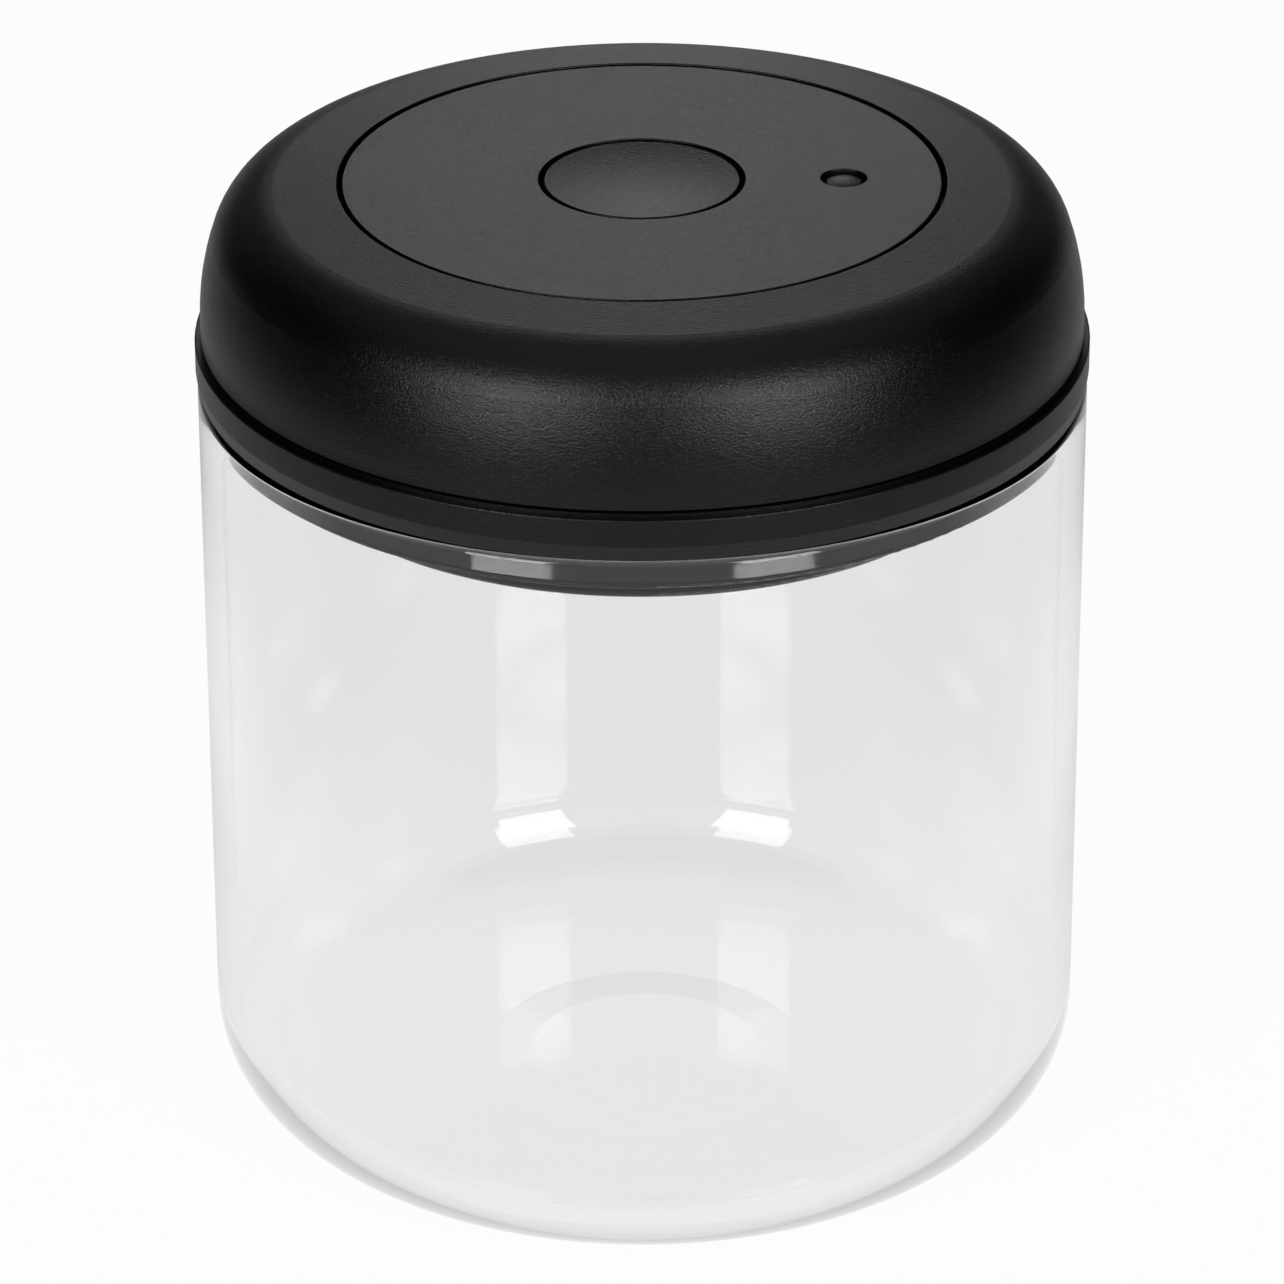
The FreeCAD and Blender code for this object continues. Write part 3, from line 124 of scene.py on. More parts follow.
# Turns an outline about the upright axis: point (r, z) goes to (r cos a, r sin a, z) for a full turn of a.
# The outline runs anticlockwise round its solid. One that starts and ends on the axis gets a pole there.
def turnedPiece(name, outline, around, sharpAngle):
    onAxis = outline[0, 0] < tiny and outline[-1, 0] < tiny
    rings = outline[1:-1] if onAxis else outline
    turn = np.linspace(0, 2 * math.pi, around, endpoint=False)
    x, y = rings[:, :1] * np.cos(turn), rings[:, :1] * np.sin(turn)
    points = np.stack([x, y, np.broadcast_to(rings[:, 1:], x.shape)], -1).reshape(-1, 3)
    if onAxis:
        points = np.concatenate([points, [(0, 0, outline[0, 1]), (0, 0, outline[-1, 1])]])
    return meshPiece(name, points * mm, ringFaces(len(rings), around, onAxis), sharpAngle)


def meshPiece(name, points, faces, sharpAngle):
    mesh = bpy.data.meshes.new(name)
    mesh.from_pydata(points.tolist(), [], faces)
    mesh.shade_smooth()
    mesh.set_sharp_from_angle(angle=math.radians(sharpAngle))
    mesh.validate()
    piece = bpy.data.objects.new(name, mesh)
    scene.collection.objects.link(piece)
    return piece


# Box of a node in millimetres
def nodeBox(name):
    low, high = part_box(name)
    return np.array(low) / mm, np.array(high) / mm


def standFor(piece, node, body, material):
    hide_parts(node)
    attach(piece, body)
    piece.data.materials.append(material)


# Shader helpers

def newMaterial(name):
    material = bpy.data.materials.new(name)
    material.use_nodes = True
    tree = material.node_tree
    return material, tree, tree.nodes["Principled BSDF"]


# Adds a node; a setting is one of its properties or the value of one of its sockets
def addNode(tree, kind, links=(), **settings):
    node = tree.nodes.new(kind)
    for key, value in settings.items():
        if key in node.bl_rna.properties:
            setattr(node, key, value)
        else:
            node.inputs[key.replace("_", " ")].default_value = value
    for socket, source in links:
        tree.links.new(source, node.inputs[socket])
    return node


def addMath(tree, operation, *terms):
    node = tree.nodes.new("ShaderNodeMath")
    node.operation = operation
    for index, term in enumerate(terms):
        if isinstance(term, (int, float)):
            node.inputs[index].default_value = term
        else:
            tree.links.new(term, node.inputs[index])
    return node.outputs[0]


def addRange(tree, value, fromMin, fromMax, toMin, toMax, kind="LINEAR"):
    node = addNode(tree, "ShaderNodeMapRange", [("Value", value)], interpolation_type=kind,
                   From_Min=fromMin, From_Max=fromMax, To_Min=toMin, To_Max=toMax)
    return node.outputs[0]


def addNoise(tree, place, scale, detail):
    node = addNode(tree, "ShaderNodeTexNoise", [("Vector", place)], Detail=detail)
    if isinstance(scale, float):
        node.inputs["Scale"].default_value = scale
    else:
        tree.links.new(scale, node.inputs["Scale"])
    return node.outputs["Fac"]


def addCoordinates(tree):
    return addNode(tree, "ShaderNodeTexCoord").outputs["Object"]


def addParts(tree, vector):
    return addNode(tree, "ShaderNodeSeparateXYZ", [("Vector", vector)]).outputs


# A group that reads a place and some controls, and gives a height, a roughness and a tone
def newGroup(name, controls):
    group = bpy.data.node_groups.new(name, "ShaderNodeTree")
    group.interface.new_socket("Place", in_out="INPUT", socket_type="NodeSocketVector")
    for label in controls:
        group.interface.new_socket(label, in_out="INPUT", socket_type="NodeSocketFloat")
    for label in ("Height", "Roughness", "Tone"):
        group.interface.new_socket(label, in_out="OUTPUT", socket_type="NodeSocketFloat")
    return group, group.nodes.new("NodeGroupInput").outputs, group.nodes.new("NodeGroupOutput").inputs


# The roughness swings about the gloss as the drift, a value from 0 to 1, swings about its middle
def fillGroup(group, given, result, height, drift, swing, tone):
    spread = addMath(group, "MULTIPLY_ADD", drift, swing, -swing / 2)
    roughness = addMath(group, "MULTIPLY_ADD", spread, given["GlossSpread"], given["Gloss"])
    for label, source in (("Height", height), ("Roughness", roughness), ("Tone", tone)):
        group.links.new(source, result[label])


def placeGroup(tree, group, **values):
    node = tree.nodes.new("ShaderNodeGroup")
    node.node_tree = group
    for key, value in values.items():
        node.inputs[key].default_value = value
    tree.links.new(addCoordinates(tree), node.inputs["Place"])
    return node.outputs


# Base colour between two tones
def addTones(tree, shader, factor, first, second):
    node = tree.nodes.new("ShaderNodeMix")
    node.data_type = "RGBA"
    tree.links.new(factor, node.inputs["Factor"])
    colours = [socket for socket in node.inputs if socket.type == "RGBA"]
    for socket, colour in zip(colours, (first, second)):
        socket.default_value = (*colour, 1)
    mixed = next(socket for socket in node.outputs if socket.type == "RGBA")
    tree.links.new(mixed, shader.inputs["Base Color"])


def mixShaders(tree, factor, first, second):
    links = [("Fac", factor), (1, first.outputs[0]), (2, second.outputs[0])]
    return addNode(tree, "ShaderNodeMixShader", links)


def addBump(tree, shader, height, strength, depth):
    bump = addNode(tree, "ShaderNodeBump", [("Height", height)], Strength=strength, Distance=depth)
    tree.links.new(bump.outputs["Normal"], shader.inputs["Normal"])


# Skin of a moulded or cast piece: small rounded pits of two sizes, and a slow drift of the gloss
grainShape = dict(finer=2.7, fineShare=0.5, coarseDetail=2.0, fineDetail=1.0, driftDetail=4.0, swing=5.0)


def makeMouldGrain():
    group, given, result = newGroup("mouldGrain", ["GrainScale", "Gloss", "GlossSpread", "DriftScale"])
    place = given["Place"]
    finerScale = addMath(group, "MULTIPLY", given["GrainScale"], grainShape["finer"])
    coarse = addNoise(group, place, given["GrainScale"], grainShape["coarseDetail"])
    fine = addNoise(group, place, finerScale, grainShape["fineDetail"])
    drift = addNoise(group, place, given["DriftScale"], grainShape["driftDetail"])
    height = addMath(group, "MULTIPLY_ADD", fine, grainShape["fineShare"], coarse)
    fillGroup(group, given, result, height, drift, grainShape["swing"], coarse)
    return group


# Marks of a tool or a drawing die, running round an upright axis at AxisX: noise that changes fast
# with the distance from the axis and with the height, and slowly round it
lineShape = dict(turnScale=1.6, scale=1.0, detail=2.0, swing=2.0)


def makeRoundLines():
    group, given, result = newGroup("roundLines", ["AxisX", "LineScale", "Gloss", "GlossSpread"])
    parts = addParts(group, given["Place"])
    across = addMath(group, "SUBTRACT", parts["X"], given["AxisX"])
    square = addMath(group, "MULTIPLY", parts["Y"], parts["Y"])
    square = addMath(group, "MULTIPLY_ADD", across, across, square)
    reach = addMath(group, "MULTIPLY", addMath(group, "SQRT", square), given["LineScale"])
    level = addMath(group, "MULTIPLY", parts["Z"], given["LineScale"])
    turn = addMath(group, "ARCTAN2", parts["Y"], across)
    turn = addMath(group, "MULTIPLY", turn, lineShape["turnScale"])
    place = addNode(group, "ShaderNodeCombineXYZ", [("X", reach), ("Y", turn), ("Z", level)]).outputs[0]
    lines = addNoise(group, place, lineShape["scale"], lineShape["detail"])
    fillGroup(group, given, result, lines, lines, lineShape["swing"], lines)
    return group


mouldGrain = makeMouldGrain()
roundLines = makeRoundLines()


# Moulded and cast finishes: two tones that the grain mixes, gloss, and the depth of the grain
lidFinish = dict(dark=(0.0012, 0.0012, 0.0013), pale=(0.0026, 0.0026, 0.0028), grainScale=3800.0,
                 gloss=0.235, glossSpread=0.015, driftScale=45.0, strength=0.8, depth=0.00008,
                 shineTint=(0.94, 0.965, 1.0))
innerFinish = dict(dark=(0.03, 0.03, 0.0315), pale=(0.043, 0.043, 0.045), grainScale=1300.0,
                   gloss=0.34, glossSpread=0.07, driftScale=70.0, strength=0.1, depth=0.0001)
acetalFinish = dict(dark=(0.66, 0.66, 0.62), pale=(0.76, 0.76, 0.725), grainScale=700.0,
                    gloss=0.27, glossSpread=0.06, driftScale=60.0, strength=0.05, depth=0.0001)
siliconeFinish = dict(dark=(0.006, 0.006, 0.0063), pale=(0.010, 0.010, 0.0105), grainScale=900.0,
                      gloss=0.07, glossSpread=0.01, driftScale=90.0, strength=0.002, depth=0.0001)
bandFinish = dict(dark=(0.02, 0.27, 0.09), pale=(0.028, 0.33, 0.115), grainScale=2600.0,
                  gloss=0.25, glossSpread=0.05, driftScale=200.0, strength=0.04, depth=0.0001)


def makeMoulded(name, finish):
    material, tree, shader = newMaterial(name)
    grain = placeGroup(tree, mouldGrain, GrainScale=finish["grainScale"], Gloss=finish["gloss"],
                       GlossSpread=finish["glossSpread"], DriftScale=finish["driftScale"])
    addTones(tree, shader, grain["Tone"], finish["dark"], finish["pale"])
    tree.links.new(grain["Roughness"], shader.inputs["Roughness"])
    shader.inputs["Specular Tint"].default_value = (*finish.get("shineTint", (1.0, 1.0, 1.0)), 1)
    addBump(tree, shader, grain["Height"], finish["strength"], finish["depth"])
    return material


# Milky silicone of the valves: the same cast skin, but light passes into it
milkyFinish = dict(dark=(0.62, 0.62, 0.6), pale=(0.74, 0.74, 0.72), grainScale=1500.0, gloss=0.3,
                   glossSpread=0.05, driftScale=150.0, strength=0.03, depth=0.0001, clear=0.35, ior=1.41)


def makeMilkySilicone():
    material = makeMoulded("milkySilicone", milkyFinish)
    shader = material.node_tree.nodes["Principled BSDF"]
    shader.inputs["Transmission Weight"].default_value = milkyFinish["clear"]
    shader.inputs["IOR"].default_value = milkyFinish["ior"]
    return material


# Plain steel with the marks of turning on the screws and pins, and of drawing on the spring wire
screwFinish = dict(dark=(0.42, 0.42, 0.43), pale=(0.6, 0.6, 0.61), lineScale=5200.0, gloss=0.3,
                   glossSpread=0.1, strength=0.12, depth=0.00005)
wireFinish = dict(dark=(0.4, 0.395, 0.39), pale=(0.57, 0.565, 0.56), lineScale=7800.0, gloss=0.24,
                  glossSpread=0.09, strength=0.1, depth=0.00004)


def makeSteel(name, finish, axisX=0.0):
    material, tree, shader = newMaterial(name)
    lines = placeGroup(tree, roundLines, AxisX=axisX, LineScale=finish["lineScale"], Gloss=finish["gloss"],
                       GlossSpread=finish["glossSpread"])
    addTones(tree, shader, lines["Tone"], finish["dark"], finish["pale"])
    tree.links.new(lines["Roughness"], shader.inputs["Roughness"])
    shader.inputs["Metallic"].default_value = 1.0
    addBump(tree, shader, lines["Height"], finish["strength"], finish["depth"])
    return material


# Pressed felt: pale fibres that cross at two slants, with darker gaps between them
feltFinish = dict(gap=(0.5, 0.48, 0.43), fibre=(0.78, 0.765, 0.72), fibreScale=900.0, detail=3.0,
                  stretch=(1.0, 0.16, 0.6), slants=(0.6, -0.8), contrast=3.0, darken=-1.2,
                  strength=0.7, depth=0.0004, sheen=0.4, roughness=0.95)


def makeFelt():
    material, tree, shader = newMaterial("pressedFelt")
    coordinates = addCoordinates(tree)
    layers = []
    for slant in feltFinish["slants"]:
        turned = addNode(tree, "ShaderNodeMapping", [("Vector", coordinates)], Scale=feltFinish["stretch"],
                         Rotation=(0.0, 0.0, slant)).outputs[0]
        layers.append(addNoise(tree, turned, feltFinish["fibreScale"], feltFinish["detail"]))
    fibres = addMath(tree, "MAXIMUM", *layers)
    sharper = addMath(tree, "MULTIPLY_ADD", fibres, feltFinish["contrast"], feltFinish["darken"])
    addTones(tree, shader, sharper, feltFinish["gap"], feltFinish["fibre"])
    shader.inputs["Roughness"].default_value = feltFinish["roughness"]
    shader.inputs["Sheen Weight"].default_value = feltFinish["sheen"]
    addBump(tree, shader, fibres, feltFinish["strength"], feltFinish["depth"])
    return material


# Clear glass with a very slight ripple from blowing, and its faint cool body.
# Where rays have been mirrored to and fro many times inside the foot, the glass emits a painted glow that
# stands in for the light they carry, and where the wall is seen edge on, near the rim and round the foot,
# it emits a painted pale sheen as pale as the white room beside it.
glassFinish = dict(pale=(0.966, 0.970, 0.978), deep=(0.960, 0.965, 0.974), ior=1.5, roughness=0.0,
                   rippleScale=22.0, rippleDetail=1.0, flatten=(1.0, 1.0, 0.35), strength=0.005,
                   depth=0.0004)
glassPaintedGlow = dict(mirrorings=3.5, level=0.28, fullTo=0.02, noneFrom=0.04)
glassPaintedEdgeSheen = dict(blend=0.5, level=0.17, facingFrom=0.55, facingTo=0.92, noneTo=0.036, fullFrom=0.07)
glassPaintedFootSheen = dict(level=0.2, facingFrom=0.62, fullTo=0.014, noneFrom=0.018)


# Emission strength of the glass: a painted glow in the foot for rays mirrored many times, and a painted
# pale sheen on the wall seen edge on
def addPaintedGlow(tree, coordinates):
    path = addNode(tree, "ShaderNodeLightPath").outputs
    height = addParts(tree, coordinates)["Z"]
    trapped = addMath(tree, "GREATER_THAN", path["Glossy Depth"], glassPaintedGlow["mirrorings"])
    paintedGlow = addRange(tree, height, glassPaintedGlow["fullTo"], glassPaintedGlow["noneFrom"], glassPaintedGlow["level"], 0.0)
    facing = addNode(tree, "ShaderNodeLayerWeight", Blend=glassPaintedEdgeSheen["blend"]).outputs["Facing"]
    edge = addRange(tree, facing, glassPaintedEdgeSheen["facingFrom"], glassPaintedEdgeSheen["facingTo"], 0.0, glassPaintedEdgeSheen["level"])
    high = addRange(tree, height, glassPaintedEdgeSheen["noneTo"], glassPaintedEdgeSheen["fullFrom"], 0.0, 1.0)
    paintedFootSheen = addRange(tree, facing, glassPaintedFootSheen["facingFrom"], 1.0, 0.0, glassPaintedFootSheen["level"])
    low = addRange(tree, height, glassPaintedFootSheen["fullTo"], glassPaintedFootSheen["noneFrom"], 1.0, 0.0)
    paintedEdgeSheen = addMath(tree, "MULTIPLY_ADD", paintedFootSheen, low, addMath(tree, "MULTIPLY", edge, high))
    paintedEdgeSheen = addMath(tree, "MULTIPLY", path["Is Camera Ray"], paintedEdgeSheen)
    return addMath(tree, "MULTIPLY_ADD", trapped, paintedGlow, paintedEdgeSheen)


def makeClearGlass():
    material, tree, shader = newMaterial("clearGlass")
    coordinates = addCoordinates(tree)
    flattened = addNode(tree, "ShaderNodeMapping", [("Vector", coordinates)],
                        Scale=glassFinish["flatten"]).outputs[0]
    ripple = addNoise(tree, flattened, glassFinish["rippleScale"], glassFinish["rippleDetail"])
    addTones(tree, shader, ripple, glassFinish["pale"], glassFinish["deep"])
    shader.inputs["Roughness"].default_value = glassFinish["roughness"]
    shader.inputs["IOR"].default_value = glassFinish["ior"]
    shader.inputs["Transmission Weight"].default_value = 1.0
    # the glass emits the painted glow and the painted edge sheen
    tree.links.new(addPaintedGlow(tree, coordinates), shader.inputs["Emission Strength"])
    material.cycles.emission_sampling = "NONE"
    addBump(tree, shader, ripple, glassFinish["strength"], glassFinish["depth"])
    return material


pinPlace = sum(corner.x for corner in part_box("indicator_pin")) / 2
lidPlastic = makeMoulded("lidPlastic", lidFinish)
blackSilicone = makeMoulded("blackSilicone", siliconeFinish)
clearGlass = makeClearGlass()
pressedFelt = makeFelt()
screwSteel = makeSteel("screwSteel", screwFinish)
springWire = makeSteel("springWire", wireFinish)
liftSpringWire = makeSteel("liftSpringWire", wireFinish, pinPlace)
finishes = {
    "lid_plastic": lidPlastic,
    "inner_plastic": makeMoulded("innerPlastic", innerFinish),
    "cam_acetal": makeMoulded("camAcetal", acetalFinish),
    "black_silicone": blackSilicone,
    "clear_silicone": makeMilkySilicone(),
    "filter_felt": pressedFelt,
    "screw_steel": screwSteel,
    "spring_steel": springWire,
    "green_band": makeMoulded("greenBand", bandFinish),
    "clear_glass": clearGlass,
}
print("finishes made:", len(finishes))


# Every node of the frame takes the finish of its slot
def dressNodes():
    for row in frame["record"]["subparts"]:
        materials = nodes[row["node"]].data.materials
        materials.clear()
        materials.append(finishes[row["material_slot"]])


dressNodes()
print("nodes dressed")


# Glass jar: a blown cup with a round foot, a slightly hollow underside and a fire polished rim
jar = dict(wall=2.6, floor=3.5, corner=13.25, footWidth=20.0, hollowRise=0.5, hollowSlope=6.0, rimRound=1.0,
           footRound=4.0, hollowRound=6.0, arcSteps=24, around=320, step=2.4, sharpAngle=35)


def makeGlassJar():
    low, high = nodeBox("glass_jar")
    radius, top = high[0], high[2]
    bore = radius - jar["wall"]
    footEdge = radius - jar["corner"] - jar["footWidth"]
    outline = roundedOutline([
        (0, jar["hollowRise"]),
        (footEdge - jar["hollowSlope"], jar["hollowRise"], jar["hollowRound"]),
        (footEdge, 0, jar["footRound"]),
        (radius, 0, jar["corner"]),
        (radius, top, jar["rimRound"]),
        (bore, top, jar["rimRound"]),
        (bore, jar["floor"], jar["corner"] - jar["wall"]),
        (0, jar["floor"]),
    ], closed=False, steps=jar["arcSteps"])
    outline = evenOutline(outline, jar["step"], closed=False)
    piece = turnedPiece("clearJar", outline, jar["around"], jar["sharpAngle"])
    standFor(piece, "glass_jar", "jar", clearGlass)


makeGlassJar()
print("jar made")


# Gasket: a ring in the plug's groove, with a lip that leans out and down to the glass
gasket = dict(deep=2.95, lip=0.95, lipUnder=0.2, lipEdge=0.3, edgeRound=0.13, bodyRound=0.3, around=320,
              step=0.4, sharpAngle=35)


def makeGasket():
    low, high = nodeBox("jar_gasket")
    tip, bottom, top = high[0], low[2], high[2]
    inner, face = tip - gasket["deep"], tip - gasket["lip"]
    lipBottom = bottom + gasket["lipUnder"]
    outline = roundedOutline([
        (inner, bottom, gasket["bodyRound"]),
        (face, bottom),
        (tip, lipBottom, gasket["edgeRound"]),
        (tip, lipBottom + gasket["lipEdge"], gasket["edgeRound"]),
        (face, top, gasket["bodyRound"]),
        (inner, top, gasket["bodyRound"]),
    ])
    outline = evenOutline(outline, gasket["step"])
    piece = turnedPiece("gasketLip", outline, gasket["around"], gasket["sharpAngle"])
    standFor(piece, "jar_gasket", "lid", blackSilicone)


makeGasket()
print("gasket made")


# Felt ring: a soft edged band whose height is raised and lowered by crossing waves round it,
# z = z0 + lift * (sin(7a + 3s) + sin(19a - 5s) / 2) with a the turn and s the way along the outline
felt = dict(edgeRound=0.45, lift=0.05, longWave=(7, 3), shortWave=(19, -5), shortShare=0.5, around=360,
            step=0.5, sharpAngle=60)


def makeFeltRing():
    low, high = nodeBox("inlet_filter")
    meshPoints = np.empty(len(nodes["inlet_filter"].data.vertices) * 3)
    nodes["inlet_filter"].data.vertices.foreach_get("co", meshPoints)
    inner = np.hypot(*meshPoints.reshape(-1, 3)[:, :2].T).min() / mm
    lift = felt["lift"] * (1 + felt["shortShare"])
    bottom, top = low[2] + lift, high[2] - lift
    outline = evenOutline(roundedOutline([
        (inner, bottom, felt["edgeRound"]),
        (high[0], bottom, felt["edgeRound"]),
        (high[0], top, felt["edgeRound"]),
        (inner, top, felt["edgeRound"]),
    ]), felt["step"])
    turn = np.linspace(0, 2 * math.pi, felt["around"], endpoint=False)
    way = np.linspace(0, 2 * math.pi, len(outline), endpoint=False)[:, None]
    (longTurn, longWay), (shortTurn, shortWay) = felt["longWave"], felt["shortWave"]
    wave = np.sin(longTurn * turn + longWay * way)
    wave = wave + felt["shortShare"] * np.sin(shortTurn * turn + shortWay * way)
    x, y = outline[:, :1] * np.cos(turn), outline[:, :1] * np.sin(turn)
    z = outline[:, 1:] + felt["lift"] * wave
    points = np.stack([x, y, z], -1).reshape(-1, 3) * mm
    faces = ringFaces(len(outline), felt["around"], False)
    piece = meshPiece("feltRing", points, faces, felt["sharpAngle"])
    standFor(piece, "inlet_filter", "lid", pressedFelt)


makeFeltRing()
print("felt made")


# Coil springs: a wire whose middle line is (R cos a, R sin a, z) for a turn a. At both ends it rises by its
# own thickness in each turn, so the end turns lie closed, and between them it rises evenly. The section
# swings in the plane of the outward direction and the one square to it and to the wire.
buttonCoil = dict(name="buttonCoil", node="button_spring", body="button", wire=0.8, turns=5.0, closed=0.8,
                  ramp=0.5, steps=420, around=20, sharpAngle=50)
liftCoil = dict(name="liftCoil", node="indicator_spring", body="indicator", wire=0.5, turns=3.0, closed=0.6,
                ramp=0.4, steps=260, around=18, sharpAngle=50)


def makeCoil(coil, material):
    low, high = nodeBox(coil["node"])
    wire = coil["wire"]
    middle = (low[0] + high[0]) / 2
    radius = (high[0] - low[0] - wire) / 2
    turn = np.linspace(0, coil["turns"], coil["steps"])
    opened = np.clip((np.minimum(turn, coil["turns"] - turn) - coil["closed"]) / coil["ramp"], 0, 1)
    height = high[2] - low[2] - wire
    stretch = (height - wire * coil["turns"]) / (opened.mean() * coil["turns"])
    rise = wire + stretch * opened
    level = np.concatenate([[0], np.cumsum((rise[1:] + rise[:-1]) / 2 * np.diff(turn))])
    level *= height / level[-1]
    angle = 2 * math.pi * turn
    outwards = np.stack([np.cos(angle), np.sin(angle), np.zeros_like(angle)], -1)
    axis = np.stack([np.full_like(angle, middle), np.zeros_like(angle), low[2] + wire / 2 + level], -1)
    line = axis + radius * outwards
    along = np.gradient(line, axis=0)
    along /= np.linalg.norm(along, axis=1, keepdims=True)
    across = np.cross(along, outwards)
    swing = np.linspace(0, 2 * math.pi, coil["around"], endpoint=False)[None, :, None]
    section = np.cos(swing) * outwards[:, None] + np.sin(swing) * across[:, None]
    tube = line[:, None] + wire / 2 * section
    points = np.concatenate([tube.reshape(-1, 3), line[[0, -1]]]) * mm
    faces = ringFaces(coil["steps"], coil["around"], True)
    piece = meshPiece(coil["name"], points, faces, coil["sharpAngle"])
    piece.data.materials.append(material)
    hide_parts(coil["node"])
    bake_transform(piece)


makeCoil(buttonCoil, springWire)
makeCoil(liftCoil, liftSpringWire)
print("springs made")


# Screws: a tapping thread, r = core + thread * |2 frac(z / pitch - a / 2 pi) - 1| for a turn a, that runs
# out at the tip and under the head, a soft edged pan head, and a six sided socket,
# r = reach cos(30) / cos((a mod 60) - 30) in degrees
screws = dict(core=1.0, thread=0.25, pitch=0.95, fade=1.2, point=0.5, neck=0.35, rows=130, headRadius=2.6,
              headHeight=1.5, headRound=0.6, headEdge=0.1, socketReach=1.15, socketRim=0.1, socketDepth=0.9,
              socketPoint=0.2, count=3, turned=60.0, around=72, sharpAngle=40)


def makeScrews():
    low, high = nodeBox("retainer_screws")
    tip, top = low[2], high[2]
    seat = top - screws["headHeight"]
    circle = -low[0] - screws["headRadius"]
    angle = np.linspace(0, 2 * math.pi, screws["around"], endpoint=False)
    level = np.linspace(tip + screws["point"], seat - screws["neck"], screws["rows"])[:, None]
    wave = np.abs(2 * np.mod(level / screws["pitch"] - angle / (2 * math.pi), 1) - 1)
    ends = np.clip(np.minimum(level - level[0], level[-1] - level) / screws["fade"], 0, 1)
    shank = screws["core"] + screws["thread"] * wave * ends
    head = roundedOutline([
        (screws["core"], seat),
        (screws["headRadius"], seat, screws["headEdge"]),
        (screws["headRadius"], top, screws["headRound"]),
        (screws["socketReach"] + screws["socketRim"], top),
    ], closed=False)
    halfSide = math.pi / 6
    sixSided = screws["socketReach"] * math.cos(halfSide) / np.cos(np.mod(angle, 2 * halfSide) - halfSide)
    even = np.ones_like(angle)
    floor = top - screws["socketDepth"]
    reach = np.concatenate([[screws["core"] / 2 * even], shank, head[:, :1] * even, [sixSided, sixSided]])
    height = np.concatenate([[tip * even], level * even, head[:, 1:] * even,
                             [(top - screws["socketRim"]) * even, floor * even]])
    one = np.stack([reach * np.cos(angle), reach * np.sin(angle), height], -1).reshape(-1, 3)
    one = np.concatenate([one, [(0, 0, tip), (0, 0, floor - screws["socketPoint"])]])
    place = np.radians(screws["turned"] + 360 / screws["count"] * np.arange(screws["count"]))
    shift = circle * np.stack([np.cos(place), np.sin(place), np.zeros_like(place)], -1)
    points = (shift[:, None] + one).reshape(-1, 3)
    faces = []
    for number in range(screws["count"]):
        faces += ringFaces(len(reach), screws["around"], True, number * len(one))
    piece = meshPiece("tappingScrews", points * mm, faces, screws["sharpAngle"])
    standFor(piece, "retainer_screws", "lid", screwSteel)


makeScrews()
print("screws made")


# Studio: a pale floor and a backdrop, two softboxes in front and a dim room
studio = dict(floorSize=6.0, floorDrop=0.0004, backdropPlace=1.6, backdropWide=2.4, backdropHeight=2.2,
              sharpAngle=30, paint=0.9, cameraShare=0.96, lightShare=0.9, throughGlass=0.92, roomGrey=0.25)

# What the lid mirrors of the room: a dark wall, and a pale ceiling straight above
room = dict(wall=0.008, ceiling=0.26, ceilingFrom=0.64, ceilingTo=0.88)

# Painted levels of light that the floor shows to mirrored rays: bright by the jar, less on the strip before
# and behind it, and dim beside that strip.
# Seen through the glass it is pale, but painted shade makes it dim ahead of the jar for light that the
# glass mirrors once.
floorPaintedLevels = dict(near=0.8, strip=0.3, nearFrom=0.13, nearTo=0.2, stripFrom=0.2, stripTo=0.42, beside=0.04,
                   dim=0.2, dimFrom=-0.05, dimTo=0.03, mirrorings=1.0, within=0.1)

# The backdrop carries a painted pool of light, seen in reflections, narrower than it is high, whose level
# falls off towards its edge
paintedPool = dict(middle=0.84, narrow=2.4, reach=0.85, level=1.9, edge=0.04)


def addReach(tree, place):
    return addNode(tree, "ShaderNodeVectorMath", [(0, place)], operation="LENGTH").outputs["Value"]


def addNear(tree, place, here, beyond):
    reach = addReach(tree, place)
    return addRange(tree, reach, floorPaintedLevels["nearFrom"], floorPaintedLevels["nearTo"], here, beyond)


# Painted pool of light that mirrored rays see on the floor, brightest by the jar
def floorPaintedShine(tree, place):
    aside = addMath(tree, "ABSOLUTE", addParts(tree, place)["X"])
    share = addRange(tree, aside, floorPaintedLevels["stripFrom"], floorPaintedLevels["stripTo"],
                     1.0, floorPaintedLevels["beside"], "SMOOTHSTEP")
    return addMath(tree, "MULTIPLY", addNear(tree, place, floorPaintedLevels["near"], floorPaintedLevels["strip"]), share)


# Level seen through the glass, with painted shade ahead of the jar for rays that the glass has mirrored
# once
def floorThroughWithPaintedShade(tree, place, path):
    depth = addParts(tree, place)["Y"]
    behind = addRange(tree, depth, floorPaintedLevels["dimFrom"], floorPaintedLevels["dimTo"], 0.0, 1.0)
    ahead = addMath(tree, "MAXIMUM", behind, addNear(tree, place, 1.0, 0.0))
    ahead = addMath(tree, "SUBTRACT", 1.0, ahead)
    once = addMath(tree, "COMPARE", path["Glossy Depth"], floorPaintedLevels["mirrorings"], floorPaintedLevels["within"])
    paintedShadeMask = addMath(tree, "MULTIPLY", once, ahead)
    return addRange(tree, paintedShadeMask, 0.0, 1.0, studio["throughGlass"], floorPaintedLevels["dim"])


def backdropThrough(tree, place, path):
    return studio["throughGlass"]


# Painted pool of light on the backdrop, which mirrored rays see
def backdropPaintedPool(tree, place):
    pooled = addNode(tree, "ShaderNodeMapping", [("Vector", place)], Scale=(paintedPool["narrow"], 0.0, 1.0),
                     Location=(0.0, 0.0, -paintedPool["middle"])).outputs[0]
    reach = addReach(tree, pooled)
    return addRange(tree, reach, 0.0, paintedPool["reach"], paintedPool["level"], paintedPool["edge"], "SMOOTHSTEP")
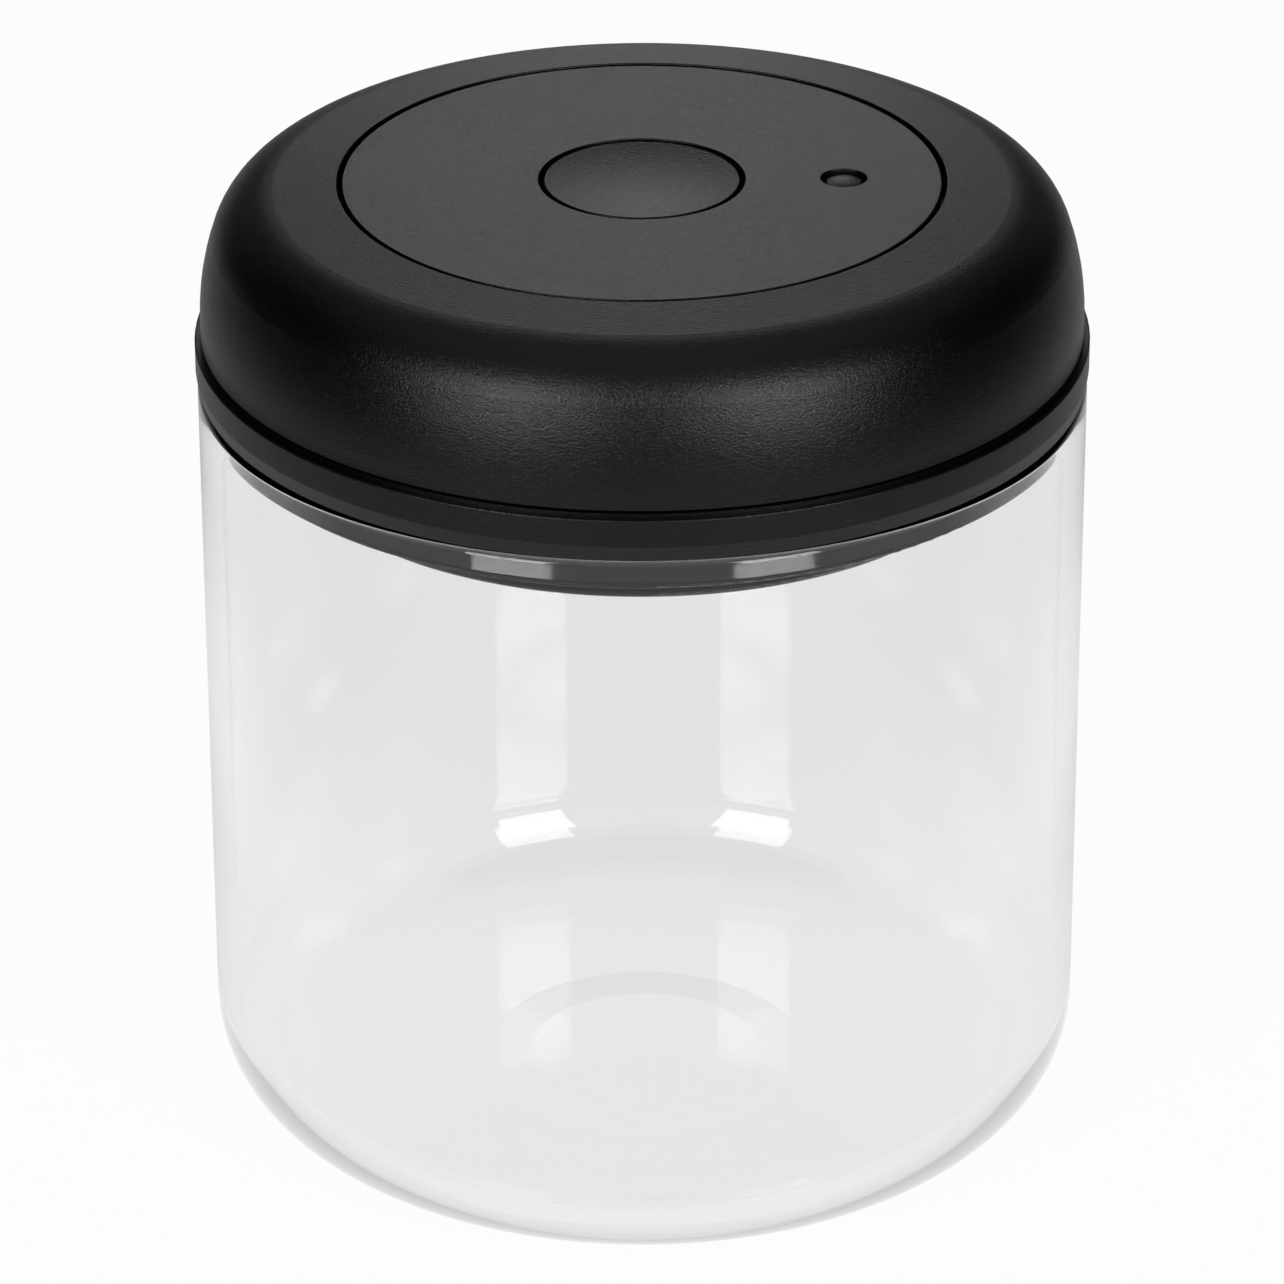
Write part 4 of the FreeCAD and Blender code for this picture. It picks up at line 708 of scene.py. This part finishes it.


# Paint that the camera sees as white, that shows mirrored rays a painted level of light of its own, and
# that stays pale behind the glass. The rest of it is plain diffuse paint, so the shadow stays. From its
# back it is clear.
def makeSweep(name, paintedShineAt, throughAt):
    material = bpy.data.materials.new(name)
    material.use_nodes = True
    material.cycles.emission_sampling = "NONE"
    tree = material.node_tree
    tree.nodes.remove(tree.nodes["Principled BSDF"])
    paint = addNode(tree, "ShaderNodeBsdfDiffuse", Color=(studio["paint"],) * 3 + (1,))
    path = addNode(tree, "ShaderNodeLightPath").outputs
    through = path["Is Transmission Ray"]
    mirrored = addMath(tree, "MULTIPLY", path["Is Glossy Ray"], addMath(tree, "SUBTRACT", 1.0, through))
    place = addCoordinates(tree)
    shine = paintedShineAt(tree, place)
    level = addMath(tree, "MULTIPLY_ADD", mirrored, shine, path["Is Camera Ray"])
    level = addMath(tree, "MULTIPLY_ADD", through, throughAt(tree, place, path), level)
    share = addMath(tree, "MAXIMUM", mirrored, through)
    share = addMath(tree, "MULTIPLY", share, studio["lightShare"])
    share = addMath(tree, "MULTIPLY_ADD", path["Is Camera Ray"], studio["cameraShare"], share)
    white = addNode(tree, "ShaderNodeEmission", [("Strength", level)])
    front = mixShaders(tree, share, paint, white)
    back = addNode(tree, "ShaderNodeNewGeometry").outputs["Backfacing"]
    sided = mixShaders(tree, back, front, addNode(tree, "ShaderNodeBsdfTransparent"))
    tree.links.new(sided.outputs[0], tree.nodes["Material Output"].inputs["Surface"])
    return material


def makeSheet(name, corners, material):
    sheet = meshPiece(name, np.array(corners), [(0, 1, 2, 3)], studio["sharpAngle"])
    sheet.data.materials.append(material)


def makeBackground():
    side, drop = studio["floorSize"] / 2, -studio["floorDrop"]
    half, back, rise = studio["backdropWide"] / 2, studio["backdropPlace"], studio["backdropHeight"]
    lying = [(-side, -side, drop), (side, -side, drop), (side, side, drop), (-side, side, drop)]
    standing = [(-half, back, drop), (half, back, drop), (half, back, rise), (-half, back, rise)]
    makeSheet("floor", lying, makeSweep("paleFloor", floorPaintedShine, floorThroughWithPaintedShade))
    makeSheet("backdrop", standing, makeSweep("paleBackdrop", backdropPaintedPool, backdropThrough))


# Two softboxes in front, to the left and right, turned towards the lid
softboxes = dict(distance=1.0, azimuth=33.5, elevation=22.0, width=0.34, height=0.5, power=3.6, aim=0.06)


def makeSoftboxes():
    azimuth, elevation = math.radians(softboxes["azimuth"]), math.radians(softboxes["elevation"])
    level = softboxes["distance"] * math.cos(elevation)
    for name, side in (("softboxLeft", -1), ("softboxRight", 1)):
        lamp = bpy.data.lights.new(name, "AREA")
        lamp.shape = "RECTANGLE"
        lamp.size, lamp.size_y = softboxes["width"], softboxes["height"]
        lamp.energy = softboxes["power"]
        holder = bpy.data.objects.new(name, lamp)
        holder.location = (side * level * math.sin(azimuth), -level * math.cos(azimuth),
                           softboxes["distance"] * math.sin(elevation) + softboxes["aim"])
        holder.rotation_euler = (math.pi / 2 - elevation, 0, side * azimuth)
        holder.visible_camera = False
        scene.collection.objects.link(holder)


def makeRoom():
    world = bpy.data.worlds.new("dimRoom")
    scene.world = world
    world.use_nodes = True
    world.cycles.sampling_method = "NONE"
    tree = world.node_tree
    path = addNode(tree, "ShaderNodeLightPath").outputs
    through = path["Is Transmission Ray"]
    mirrored = addMath(tree, "MULTIPLY", path["Is Glossy Ray"], addMath(tree, "SUBTRACT", 1.0, through))
    level = addMath(tree, "MULTIPLY_ADD", path["Is Diffuse Ray"], studio["roomGrey"], path["Is Camera Ray"])
    upwards = addParts(tree, addNode(tree, "ShaderNodeTexCoord").outputs["Generated"])["Z"]
    level = addMath(tree, "MULTIPLY_ADD", through, studio["throughGlass"], level)
    shine = addRange(tree, upwards, room["ceilingFrom"], room["ceilingTo"],
                     room["wall"], room["ceiling"], "SMOOTHSTEP")
    level = addMath(tree, "MULTIPLY_ADD", mirrored, shine, level)
    tree.links.new(level, tree.nodes["Background"].inputs["Strength"])
    tree.nodes["Background"].inputs["Color"].default_value = (1, 1, 1, 1)


makeBackground()
makeSoftboxes()
makeRoom()
print("studio lit")


# Camera at the photograph's place: a long lens looking down on the lid
view = dict(place=(-0.00014, -0.7727, 0.4487), pitch=26.715, roll=-0.17, lens=196.4, sensor=36.0)


def makeCamera():
    data = bpy.data.cameras.new("photoCamera")
    data.lens, data.sensor_width = view["lens"], view["sensor"]
    holder = bpy.data.objects.new("photoCamera", data)
    holder.location = view["place"]
    tilt = Matrix.Rotation(math.radians(90 - view["pitch"]), 3, "X")
    holder.rotation_euler = (tilt @ Matrix.Rotation(math.radians(view["roll"]), 3, "Z")).to_euler()
    scene.collection.objects.link(holder)
    scene.camera = holder


makeCamera()
print("camera placed")
